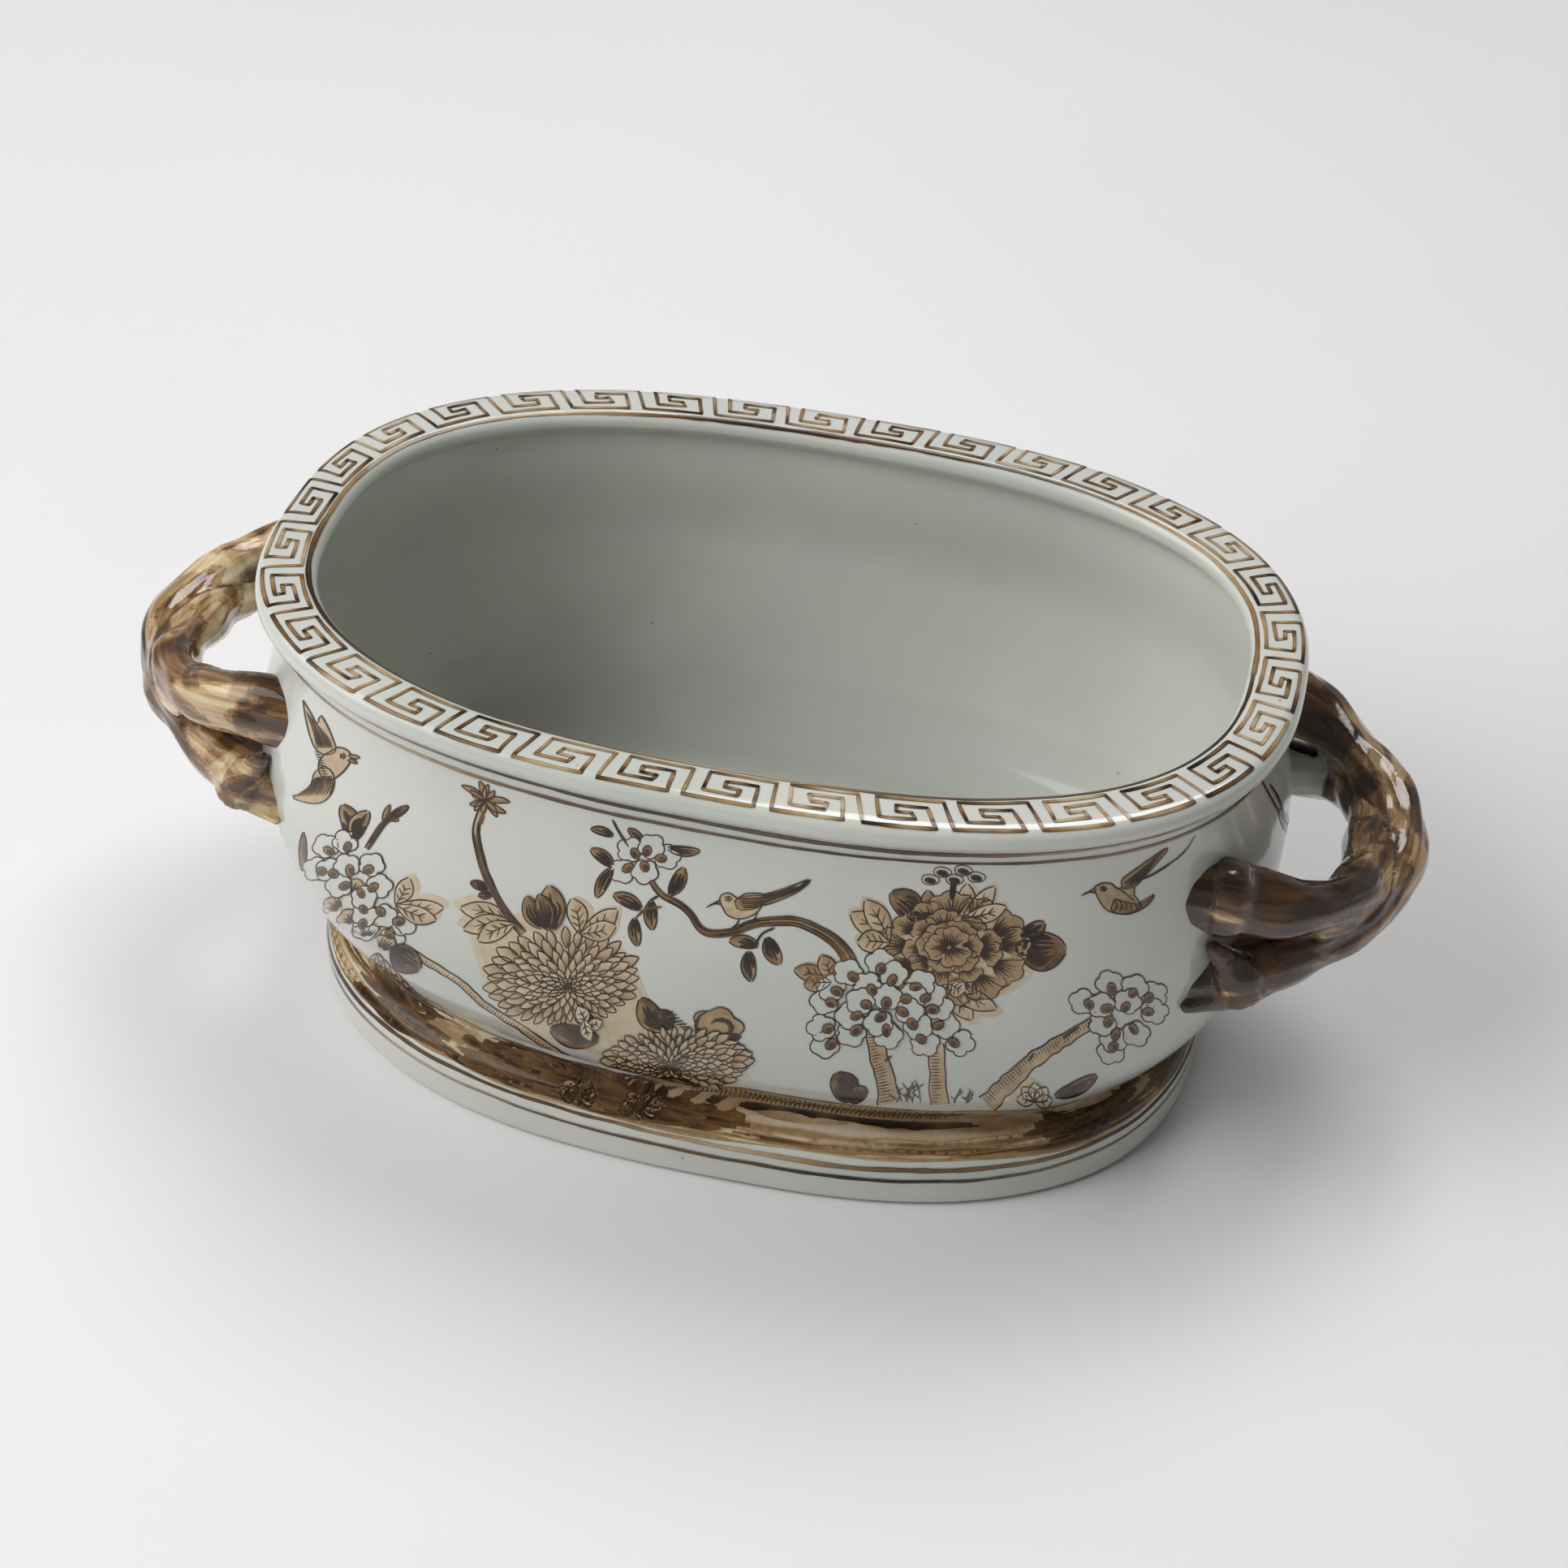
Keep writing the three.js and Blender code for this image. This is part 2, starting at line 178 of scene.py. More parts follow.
def foot_stations():
    recess = FOOT_INSET + FOOT_RING_WIDTH
    stations = [
        [FOOT_HEIGHT, RIM_HALF_LENGTH - 1, RIM_HALF_WIDTH - 1],
        [FOOT_HEIGHT, *(WAIST_INSET + FOOT_SEAT_WIDTH)],
        [FOOT_BAND_HEIGHT, *(recess + FOOT_RING_TAPER)],
        [FOOT_BAND_EDGE, *recess],
        [0, *(recess - FOOT_BAND_EDGE / 2)],
        [0, *(FOOT_INSET + FOOT_BAND_EDGE)],
        [FOOT_BAND_EDGE, *FOOT_INSET],
    ]
    for turn in np.linspace(0, math.pi / 2, 13):
        z = mix(FOOT_BAND_HEIGHT, FOOT_HEIGHT, math.sin(turn))
        stations.append([z, *mix(FOOT_INSET, WAIST_INSET, 1 - math.cos(turn))])
    return stations


def rim_stations():
    lip = RIM_FLANGE_WIDTH - RIM_LIP_RADIUS
    edge = RIM_EDGE_RADIUS
    return [
        *arc_stations(POT_HEIGHT - edge, edge, edge, -72, 90, 18),
        *arc_stations(POT_HEIGHT - RIM_LIP_RADIUS, lip, RIM_LIP_RADIUS, 90, 205, 12),
    ]


def section_table(step=0.5, softness=1.3):
    """The section at even steps, with every corner softened as a glaze softens it."""
    stations = np.array(
        foot_stations()
        + outside_stations(np.linspace(WAIST_Z, WALL_TOP, 73))
        + rim_stations()
        + inside_stations(np.linspace(WALL_TOP, FLOOR_TOP, 70))
        + [[FLOOR_TOP, RIM_HALF_LENGTH - 1, RIM_HALF_WIDTH - 1]],
        float,
    )
    ways = np.linalg.norm(np.diff(stations[:, [0, 2]], axis=0), axis=1)
    along = np.concatenate([[0], np.cumsum(np.maximum(ways, 1e-6))])
    even = np.arange(0, along[-1], step)
    table = np.stack([np.interp(even, along, column) for column in stations.T], 1)
    reach = int(4 * softness / step)
    weights = np.exp(-0.5 * (np.arange(-reach, reach + 1) * step / softness) ** 2)
    padded = np.pad(table, ((reach, reach), (0, 0)), mode="edge")
    soft = [np.convolve(column, weights / weights.sum(), "valid") for column in padded.T]
    return even, np.stack(soft, 1)


SECTION_V, SECTION = section_table()
RIM_EDGE_ROW = int(np.argmin(np.where(SECTION[:, 0] > WALL_TOP + 4, SECTION[:, 2], 99)))
LIP_ROWS = np.arange(RIM_EDGE_ROW, RIM_EDGE_ROW + 90)
LIP_ROW = int(LIP_ROWS[np.argmax(SECTION[LIP_ROWS, 2])])
FOOT_ROW = int(np.argmax((SECTION[:, 0] > 1) & (SECTION_V > 120)))


def outside_v(z):
    """Way along the section of a height on the outside, up to the rim's edge."""
    rows = slice(FOOT_ROW, RIM_EDGE_ROW)
    return np.interp(z, np.maximum.accumulate(SECTION[rows, 0]), SECTION_V[rows])


def rim_v(inset):
    """Way along the section of an inset on the top of the rim."""
    rows = slice(RIM_EDGE_ROW, LIP_ROW)
    return np.interp(inset, SECTION[rows, 2], SECTION_V[rows])


def plan_table(steps=7200):
    t = np.linspace(0, 2 * math.pi, steps + 1)
    x = RIM_HALF_LENGTH * signed_power(np.cos(t), 2 / PLAN_POWER)
    y = RIM_HALF_WIDTH * signed_power(np.sin(t), 2 / PLAN_POWER)
    lengths = np.concatenate([[0], np.cumsum(np.hypot(np.diff(x), np.diff(y)))])
    return lengths / lengths[-1], t, lengths[-1]


PLAN_S, PLAN_T, RIM_GIRTH = plan_table()


WOBBLE_DEPTH, FLAT_MIDDLE, WOBBLE_REACH = 0.732, 45, 50


def wobble(s, v):
    """Small hand-made unevenness, always inwards. It fades out towards the middle
    of the floor and of the underside."""
    turn = 2 * math.pi * s
    slow = np.sin(3 * turn + 0.4 + v / 90) + np.sin(5 * turn + 2 - v / 60)
    fast = np.sin(11 * turn + v / 25 + 1) + 0.6 * np.sin(17 * turn - v / 17)
    half_width = RIM_HALF_WIDTH - np.interp(v, SECTION_V, SECTION[:, 2])
    calm = smooth_step((half_width - FLAT_MIDDLE) / WOBBLE_REACH)
    return (0.16 * slow + 0.07 * fast) * calm - WOBBLE_DEPTH


def bare_surface(s, v):
    t = np.interp(np.mod(s, 1), PLAN_S, PLAN_T)
    z, length, width = (np.interp(v, SECTION_V, column) for column in SECTION.T)
    x = (RIM_HALF_LENGTH - length) * signed_power(np.cos(t), 2 / PLAN_POWER)
    y = (RIM_HALF_WIDTH - width) * signed_power(np.sin(t), 2 / PLAN_POWER)
    return np.stack([x, y, z], -1)


def bare_normal(s, v, ds=2e-3, dv=0.8):
    round_plan = bare_surface(s + ds, v) - bare_surface(s - ds, v)
    along = bare_surface(s, v + dv) - bare_surface(s, v - dv)
    return unit(np.cross(round_plan, along))


def surface(s, v, height=0.0):
    """Points on the glazed surface, or that height above it, with their normals."""
    def wavy(s, v):
        return bare_surface(s, v) + bare_normal(s, v) * wobble(s, v)[..., None]

    ds, dv = 2e-3, 0.8
    normal = unit(np.cross(wavy(s + ds, v) - wavy(s - ds, v), wavy(s, v + dv) - wavy(s, v - dv)))
    return wavy(s, v) + normal * np.asarray(height)[..., None], normal


# Meshes

def new_piece(name, points, faces, material, slot, normals=None, values=None):
    mesh = bpy.data.meshes.new(name)
    mesh.from_pydata(((np.asarray(points) + BOWL_MIDDLE) * MM).tolist(), [], faces)
    mesh.polygons.foreach_set("use_smooth", [True] * len(mesh.polygons))
    for key, value in (values or {}).items():
        value = np.asarray(value, np.float32)
        kind = "FLOAT" if value.ndim == 1 else "FLOAT_VECTOR"
        attribute = mesh.attributes.new(key, kind, "POINT")
        attribute.data.foreach_set("value" if value.ndim == 1 else "vector", value.ravel())
    mesh.materials.append(material)
    mesh.update()
    if normals is not None:
        mesh.normals_split_custom_set_from_vertices(np.asarray(normals).tolist())
    piece = bpy.data.objects.new(name, mesh)
    bpy.context.scene.collection.objects.link(piece)
    if slot:
        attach(piece, "root")
    return piece


def grid_faces(rows, columns, closed, start=0):
    """Quads of a grid of points, whose last column meets its first where it is closed."""
    i, j = np.meshgrid(np.arange(rows - 1), np.arange(columns if closed else columns - 1), indexing="ij")
    after = (j + 1) % columns
    corners = [i * columns + j, i * columns + after, (i + 1) * columns + after, (i + 1) * columns + j]
    return (np.stack(corners, -1).reshape(-1, 4) + start).tolist()


def section_rows(first, last):
    """Ways along the section, closer together where it bends."""
    rows = np.arange(first, last + 1)
    bend = np.zeros(len(SECTION))
    direction = np.unwrap(np.arctan2(*np.gradient(SECTION[:, [0, 2]], axis=0).T))
    bend[:] = np.abs(np.gradient(direction))
    need = np.cumsum(0.5 / 3.2 + bend[rows] * 7)
    count = int(need[-1] - need[0]) + 1
    picks = np.interp(np.linspace(need[0], need[-1], count), need, rows)
    return np.interp(picks, np.arange(len(SECTION)), SECTION_V)


def pot_skin(name, first, last, columns, material, slot, capped):
    ways = section_rows(first, last)
    s, v = np.meshgrid(np.arange(columns) / columns, ways, indexing="xy")
    points, normals = surface(s, v)
    faces = grid_faces(len(ways), columns, True)
    points, normals = points.reshape(-1, 3), normals.reshape(-1, 3)
    ring = 0 if capped == "start" else (len(ways) - 1) * columns
    centre = points[ring : ring + columns].mean(0)
    around = [len(points) if k == 2 else ring + k for k in (0, 1, 2)]
    points = np.vstack([points, centre])
    normals = np.vstack([normals, [0, 0, -1 if capped == "start" else 1]])
    for j in range(columns):
        after = (j + 1) % columns
        pair = (ring + after, ring + j) if capped == "start" else (ring + j, ring + after)
        faces.append([around[2], *pair])
    return new_piece(name, points, faces, material, slot, normals)


# Materials

class Nodes:
    """Short forms for building a material's nodes."""

    def __init__(self, name):
        self.material = bpy.data.materials.new(name)
        self.material.use_nodes = True
        self.tree = self.material.node_tree
        self.shader = self.tree.nodes["Principled BSDF"]

    def add(self, kind, **options):
        node = self.tree.nodes.new(kind)
        for key, value in options.items():
            setattr(node, key, value)
        return node

    def put(self, socket, value):
        if isinstance(value, bpy.types.NodeSocket):
            self.tree.links.new(value, socket)
        else:
            socket.default_value = value

    def maths(self, operation, a, b=0.0, clamp=False):
        node = self.add("ShaderNodeMath", operation=operation, use_clamp=clamp)
        self.put(node.inputs[0], a)
        self.put(node.inputs[1], b)
        return node.outputs[0]

    def mixed(self, factor, a, b, blend="MIX"):
        node = self.add("ShaderNodeMix", data_type="RGBA", blend_type=blend)
        self.put(node.inputs["Factor"], factor)
        self.put(node.inputs["A"], a)
        self.put(node.inputs["B"], b)
        return node.outputs["Result"]

    def place(self):
        return self.add("ShaderNodeTexCoord").outputs["Object"]

    def value(self, name):
        return self.add("ShaderNodeAttribute", attribute_name=name).outputs["Fac"]

    def vector(self, name):
        return self.add("ShaderNodeAttribute", attribute_name=name).outputs["Vector"]

    def scaled(self, vector, scale):
        node = self.add("ShaderNodeMapping")
        self.put(node.inputs["Vector"], vector)
        node.inputs["Scale"].default_value = scale
        return node.outputs[0]

    def noise(self, vector, scale, detail=2.0, rough=0.5, distortion=0.0):
        node = self.add("ShaderNodeTexNoise")
        self.put(node.inputs["Vector"], vector)
        for key, value in zip(("Scale", "Detail", "Roughness", "Distortion"), (scale, detail, rough, distortion)):
            node.inputs[key].default_value = value
        return node.outputs["Fac"]

    def spots(self, vector, scale):
        node = self.add("ShaderNodeTexVoronoi")
        self.put(node.inputs["Vector"], vector)
        node.inputs["Scale"].default_value = scale
        return node.outputs["Distance"]

    def ranged(self, value, low, high, to_low=0.0, to_high=1.0):
        node = self.add("ShaderNodeMapRange", interpolation_type="SMOOTHSTEP")
        for key, item in zip(("Value", "From Min", "From Max", "To Min", "To Max"), (value, low, high, to_low, to_high)):
            self.put(node.inputs[key], item)
        return node.outputs["Result"]

    def ramp(self, value, *stops):
        node = self.add("ShaderNodeValToRGB")
        self.put(node.inputs[0], value)
        elements = node.color_ramp.elements
        for k, (place, colour) in enumerate(stops):
            element = elements[k] if k < len(elements) else elements.new(place)
            element.position, element.color = place, colour
        return node.outputs["Color"]

    def bump(self, height, strength, distance):
        node = self.add("ShaderNodeBump")
        self.put(node.inputs["Height"], height)
        node.inputs["Strength"].default_value = strength
        node.inputs["Distance"].default_value = distance
        self.put(self.shader.inputs["Normal"], node.outputs[0])


def srgb(red, green, blue):
    """Linear colour of an 8-bit screen colour."""
    return (*(((c / 255 + 0.055) / 1.055) ** 2.4 if c > 10 else c / 3294.6 for c in (red, green, blue)), 1)


GLAZE_PALE, GLAZE_COOL = srgb(200, 200, 193), srgb(189, 193, 185)
GLAZE_SPECK = srgb(138, 126, 104)


def glaze_colour(nodes):
    """White glaze with a faint green cast, cloudy, with a few iron specks."""
    place = nodes.place()
    cloud = nodes.ranged(nodes.noise(place, 9, 3, 0.55), 0.35, 0.65)
    base = nodes.mixed(cloud, GLAZE_PALE, GLAZE_COOL)
    dots = nodes.ranged(nodes.spots(place, 58), 0.04, 0.022)
    rare = nodes.ranged(nodes.noise(place, 31, 1), 0.5, 0.58)
    return nodes.mixed(nodes.maths("MULTIPLY", dots, rare), base, GLAZE_SPECK)


def finish_glaze(nodes, roughness, coat=0.35, specular=0.5):
    shader = nodes.shader
    place = nodes.place()
    haze = nodes.noise(place, 26, 2)
    nodes.put(shader.inputs["Roughness"], nodes.ranged(haze, 0.3, 0.7, roughness, roughness + 0.07))
    shader.inputs["IOR"].default_value = 1.52
    shader.inputs["Specular IOR Level"].default_value = specular
    shader.inputs["Coat Weight"].default_value = coat
    shader.inputs["Coat Roughness"].default_value = 0.04
    ripple = nodes.noise(place, 55, 2, 0.5)
    nodes.bump(ripple, 0.25, 0.0006)


def white_glaze(name):
    nodes = Nodes(name)
    nodes.put(nodes.shader.inputs["Base Color"], glaze_colour(nodes))
    finish_glaze(nodes, 0.1)
    return nodes.material


# Painting

LIFT, LEVEL_LIFT = 0.1, 0.045
WASH, LEAF, LINE = 0, 1.2, 5
LINE_LEVEL = 0.8
HEART_SHARE = 0.37
PHOTO_CELL, PHOTO_LINE = 8, 1.75
BELLY_FOOT, BELLY_HEAD, EDGE_ON, DAMPING = 34.5, 184, 0.04, 0.15


def faces_camera(s, v):
    return np.sum(bare_normal(s, v) * unit(CAMERA_PLACE - bare_surface(s, v)), -1)


def photo_place(pixels):
    """The share s and way v of the points of the belly that lie at these pixels of
    the photograph. Pixels beside the belly go to its nearest edge."""
    s, z = np.meshgrid(np.linspace(0.42, 1.06, 420), np.linspace(BELLY_FOOT, BELLY_HEAD, 80), indexing="ij")
    s, v = s.ravel(), outside_v(z.ravel())
    seen = faces_camera(s, v) > EDGE_ON
    s, v = s[seen], v[seen]
    tree = KDTree(len(s))
    for k, (x, y) in enumerate(photo_pixel(bare_surface(s, v))):
        tree.insert((x, y, 0), k)
    tree.balance()
    nearest = np.array([tree.find((x, y, 0))[1] for x, y in pixels])
    lowest, highest = outside_v(np.array([BELLY_FOOT, BELLY_HEAD]))
    guess_s, guess_v = s[nearest], v[nearest]
    for _ in range(7):
        at = photo_pixel(bare_surface(guess_s, guess_v))
        ahead = photo_pixel(bare_surface(guess_s + 0.1 / RIM_GIRTH, guess_v))
        above = photo_pixel(bare_surface(guess_s, guess_v + 0.1))
        by_s, by_v, off = (ahead - at) / 0.1, (above - at) / 0.1, pixels - at
        a, b, c = (by_s**2).sum(1) + DAMPING, (by_s * by_v).sum(1), (by_v**2).sum(1) + DAMPING
        p, q = (by_s * off).sum(1), (by_v * off).sum(1)
        det = a * c - b * b
        guess_s = guess_s + np.clip((c * p - b * q) / det, -3, 3) / RIM_GIRTH
        guess_v = np.clip(guess_v + np.clip((a * q - b * p) / det, -3, 3), lowest, highest)
    kept = faces_camera(guess_s, guess_v) > EDGE_ON / 2
    return np.where(kept, guess_s, s[nearest]), np.where(kept, guess_v, v[nearest])


def smooth_line(points, step):
    """Even points on a smooth curve through the given ones."""
    p = np.asarray(points, float)
    if len(p) > 2:
        q = np.vstack([2 * p[0] - p[1], p, 2 * p[-1] - p[-2]])
        t = np.linspace(0, 1, 8, endpoint=False)[:, None]
        bits = [
            0.5 * (2 * b + (c - a) * t + (2 * a - 5 * b + 4 * c - d) * t**2 + (3 * b - a - 3 * c + d) * t**3)
            for a, b, c, d in zip(q, q[1:], q[2:], q[3:])
        ]
        p = np.vstack([*bits, p[-1:]])
    lengths = np.concatenate([[0], np.cumsum(np.linalg.norm(np.diff(p, axis=0), axis=1))])
    count = max(3, int(lengths[-1] / step) + 2)
    even = np.linspace(0, lengths[-1], count)
    return np.stack([np.interp(even, lengths, column) for column in p.T], -1), even


def across(line):
    along = np.gradient(line, axis=0)
    return unit(np.stack([-along[:, 1], along[:, 0]], -1))


class Painting:
    """Brush work as thin meshes that lie on the glaze. place turns canvas
    points into s and v. Ink 0 is bare glaze and ink 1 the darkest brown."""

    def __init__(self, name, place, seed, cell=PHOTO_CELL, line_width=1.7):
        self.name, self.place, self.cell, self.line_width = name, place, cell, line_width
        self.random = np.random.default_rng(seed)
        self.points, self.inks, self.lifts, self.faces, self.count = [], [], [], [], 0

    def add(self, grid, ink, level, closed=False):
        rows, columns = grid.shape[:2]
        self.faces += grid_faces(rows, columns, closed, self.count)
        if closed:
            self.faces.append(list(range(self.count, self.count + columns)))
        self.points.append(grid.reshape(-1, 2))
        self.inks.append(np.broadcast_to(ink, (rows, columns)).ravel())
        self.lifts.append(np.full(rows * columns, LIFT + LEVEL_LIFT * level))
        self.count += rows * columns

    def wander(self, ways, length):
        """Smooth random values from -1 to 1, which change over the length."""
        knots = self.random.uniform(-1, 1, int(ways[-1] / length) + 3)
        at = ways / length
        k = at.astype(int)
        return mix(knots[k], knots[k + 1], smooth_step(at - k))

    def stroke(self, points, width=None, ink=0.8, level=LINE, taper=(0.12, 0.3), unsteady=0.18, body=None, pool=0, tones=None):
        """One brush stroke. width may be one number or one for each point."""
        width = self.line_width if width is None else width
        line, ways = smooth_line(points, self.cell * 0.6)
        widths = np.interp(np.linspace(0, 1, len(line)), np.linspace(0, 1, np.size(width)), np.atleast_1d(width))
        share = ways / ways[-1]
        ends = np.minimum(1, (share + 0.03) / taper[0]) * np.minimum(1, (1.03 - share) / taper[1])
        half = widths / 2 * np.sqrt(ends) * (1 + unsteady * self.wander(ways, 14 * self.cell / PHOTO_CELL))
        columns = np.array([-1, 1]) if widths.max() < 2.2 * self.line_width and body is None else np.array([-1, -0.55, 0, 0.55, 1])
        grid = line[:, None] + (across(line) * half[:, None])[:, None] * columns[:, None]
        tone = ink * (1 + 0.22 * self.wander(ways, 26 * self.cell / PHOTO_CELL))
        if tones is not None:
            tone = np.interp(np.linspace(0, 1, len(line)), np.linspace(0, 1, len(tones)), tones)
        tone = tone + pool * np.exp(-((np.minimum(ways, ways[-1] - ways) / widths) ** 2))
        shade = 1 if body is None else np.interp(np.abs(columns), [0, 0.55, 1], body)
        self.add(grid, tone[:, None] * np.ones(len(columns)) * shade, level)

    def wash(self, outline, ink, level=WASH, edge=1.0, mottle=0.12, centre=None):
        """A filled round shape. edge is the share of ink at its outline."""
        outline = np.asarray(outline, float)
        centre = outline.mean(0) if centre is None else np.asarray(centre, float)
        radius = np.linalg.norm(outline - centre, axis=1).max()
        shares = np.append(np.linspace(0.06, 0.9, max(2, int(radius / self.cell) + 1)), 1)
        grid = centre + (outline - centre) * shares[:, None, None]
        fade = np.interp(shares, [0, 0.9, 1], [1, mix(1, edge, 0.3), edge])
        rough = 1 + mottle * self.random.uniform(-1, 1, grid.shape[:2])
        self.add(grid, np.clip(ink * fade[:, None] * rough, 0, 1), level, True)

    def oval(self, centre, radii, turn=0, steps=None, scallops=0, depth=0.14, phase=0.0):
        steps = steps or max(14, int(2.5 * math.pi * max(radii) / self.cell), scallops * 6)
        a = np.linspace(0, 2 * math.pi, steps, endpoint=False)
        r = 1 - depth + depth * np.abs(np.cos(scallops / 2 * a + phase)) if scallops else np.ones(steps)
        x, y = radii[0] * r * np.cos(a), radii[1] * r * np.sin(a)
        c, s = math.cos(math.radians(turn)), math.sin(math.radians(turn))
        return np.stack([centre[0] + c * x - s * y, centre[1] + s * x + c * y], -1)

    def loop(self, outline, width=None, ink=0.8, level=LINE):
        self.stroke(np.vstack([outline, outline[:1]]), width, ink, level, (0.02, 0.02))

    def shape(self, outline, ink, middle, level=LEAF):
        """A filled shape with a smooth outline through the points."""
        edge, _ = smooth_line(outline + outline[:1], 5)
        self.wash(edge[:-1], ink, level, 0.8, 0.12, middle)
        self.loop(edge[:-1], None, 0.78, LINE - 1)

    def eye(self, centre, radii):
        self.loop(self.oval(centre, radii), 0.8 * self.line_width, 0.86, LINE)
        self.wash(self.oval(centre, (1.6, 1.6), 0, 8), 0.95, LINE + 0.6)

    def leaf(
        self, base, tip, width, ink=0.3, line=0.78, bend=0.0, veins=0, level=LEAF, full=1.0, shade=0.25, sharp=0.7, fade=0,
    ):
        """One leaf or petal: a wash, its outline and its veins."""
        base, tip = np.asarray(base, float), np.asarray(tip, float)
        axis = tip - base
        length = np.linalg.norm(axis)
        side = np.array([-axis[1], axis[0]]) / length
        rows = max(5, int(length / self.cell) + 3)
        t = np.linspace(0, 1, rows)
        spine = base + axis * t[:, None] + side * (bend * length * np.sin(math.pi * t))[:, None]
        half = width / 2 * np.sin(math.pi * np.clip(t, 0.012, 0.99) ** full) ** sharp
        columns = np.array([-1, -0.5, 0, 0.5, 1])
        grid = spine[:, None] + side * (half[:, None] * columns)[..., None]
        tone = ink * (1 + shade * columns) * (1 + 0.12 * self.random.uniform(-1, 1, (rows, 5)))
        tone = tone * mix(1 + fade, 1 - fade, t)[:, None]
        if ink >= 0:
            self.add(grid, np.clip(tone, 0, 1), level)
        if line:
            for k in (0, 4):
                self.stroke(grid[:, k], None, line, level + LINE_LEVEL, (0.05, 0.05))
        if veins:
            self.stroke(spine[: max(3, int(rows * 0.85))], None, line, level + LINE_LEVEL)
            for k in range(1, veins + 1):
                at = 0.75 * k / (veins + 1)
                root = np.array([np.interp(at, t, column) for column in spine.T])
                reach = np.interp(min(at + 0.2, 0.95), t, half) * 0.72
                for s in (-1, 1):
                    end = root + axis / length * length * 0.17 + side * s * reach
                    self.stroke([root, (root + end) / 2 + axis * 0.02, end], None, line, level + LINE_LEVEL)

    def dark_leaf(self, base, tip, width, bend=0.06, streaks=4, ink=0.5, level=LEAF):
        """A leaf in full strength: loaded strokes from its base, with thinner brown left between."""
        self.leaf(base, tip, width, ink, 0.95, bend, 0, level, 1.0, 0.2, 0.5)
        base, tip = np.asarray(base, float), np.asarray(tip, float)
        side = np.array([-(tip - base)[1], (tip - base)[0]]) / np.linalg.norm(tip - base)
        for k in range(streaks):
            share = 0.86 * ((k + 0.5) / streaks - 0.5)
            reach = self.random.uniform(0.7, 0.98) - 0.6 * abs(share)
            start = mix(base, tip, 0.06 + 0.1 * self.random.random()) + side * width * share * 0.4
            middle = mix(base, tip, 0.45) + side * width * (share + bend)
            end = mix(base, tip, reach) + side * width * share * 0.75
            wide = 0.95 * width / streaks * self.random.uniform(0.55, 1.0)
            tones = (1, self.random.uniform(0.85, 1), self.random.uniform(0.72, 0.9))
            self.stroke([start, middle, end], wide, 0.9, level + LINE_LEVEL, (0.2, 0.4), 0.35, None, 0, tones)
        self.wash(self.oval(mix(base, tip, 0.15), (width * 0.26, width * 0.22)), 1, level + 1.3 * LINE_LEVEL, 0.9)

    def lobed_leaf(self, base, tips, width, ink=0.3, spill=(6, -5)):
        """Lobes with veins, over lobes of wash that spill past the outlines."""
        spread = 0.6 * np.asarray(spill, float)
        for tip in tips:
            self.leaf(base + spread, tip + spread, width * 1.2, ink * 0.7, 0, 0.05, 0, WASH, 1.15, 0.1)
        for k, tip in enumerate(tips):
            self.leaf(base, tip, width, ink, 0.8, 0.05, 3, LEAF + k, 1.2)

    def petals(self, heart, radius, level, facing):
        """Round white scallops that open away from a blossom's heart."""
        middle = heart + 0.36 * radius * np.array([math.cos(facing), 0.9 * math.sin(facing)])
        a = np.linspace(0, 2 * math.pi, 50, endpoint=False)
        lobes = np.abs(np.cos(2.5 * (a - facing) + self.random.uniform(-0.3, 0.3)))
        r = radius * (0.74 + 0.28 * lobes**0.5) * (1 + 0.1 * np.cos(a - facing))
        outline = np.stack([middle[0] + r * np.cos(a), middle[1] + 0.9 * r * np.sin(a)], -1)
        self.wash(outline, 0.0, level, 1.0, 0.0)
        self.loop(outline, None, 0.78, level + 0.5)

    def heart(self, centre, r, turn, level):
        """A blossom's brown heart with its dark drop."""
        turn = turn + self.random.uniform(-40, 40)
        radii = r * np.array([self.random.uniform(1.05, 1.3), self.random.uniform(0.75, 0.95)])
        drop = centre + r * self.random.uniform((-0.2, 0.1), (0.3, 0.35))
        self.wash(self.oval(centre, radii, turn, 14), 0.5, level, 1.3)
        self.wash(self.oval(drop, 0.6 * radii, turn, 12), self.random.uniform(0.66, 0.82), level + 0.4, 0.95)
        self.loop(self.oval(centre, radii, turn, 14), 0.8 * self.line_width, 0.8, level + 0.5)

    def blossoms(self, hearts, radius, level=LEAF):
        """A cluster, whose outer blossoms open outwards and lie lowest."""
        hearts = np.array(hearts, float)
        out = hearts - hearts.mean(0)
        facing = np.arctan2(out[:, 1], out[:, 0])
        order = np.argsort(-np.linalg.norm(out, axis=1))
        for rank, k in enumerate(order):
            self.petals(hearts[k], radius, level + 0.55 * rank, facing[k] + self.random.uniform(-0.3, 0.3))
        for k in order:
            self.heart(hearts[k], HEART_SHARE * radius, math.degrees(facing[k]), level + 0.55 * len(hearts) + 0.5)

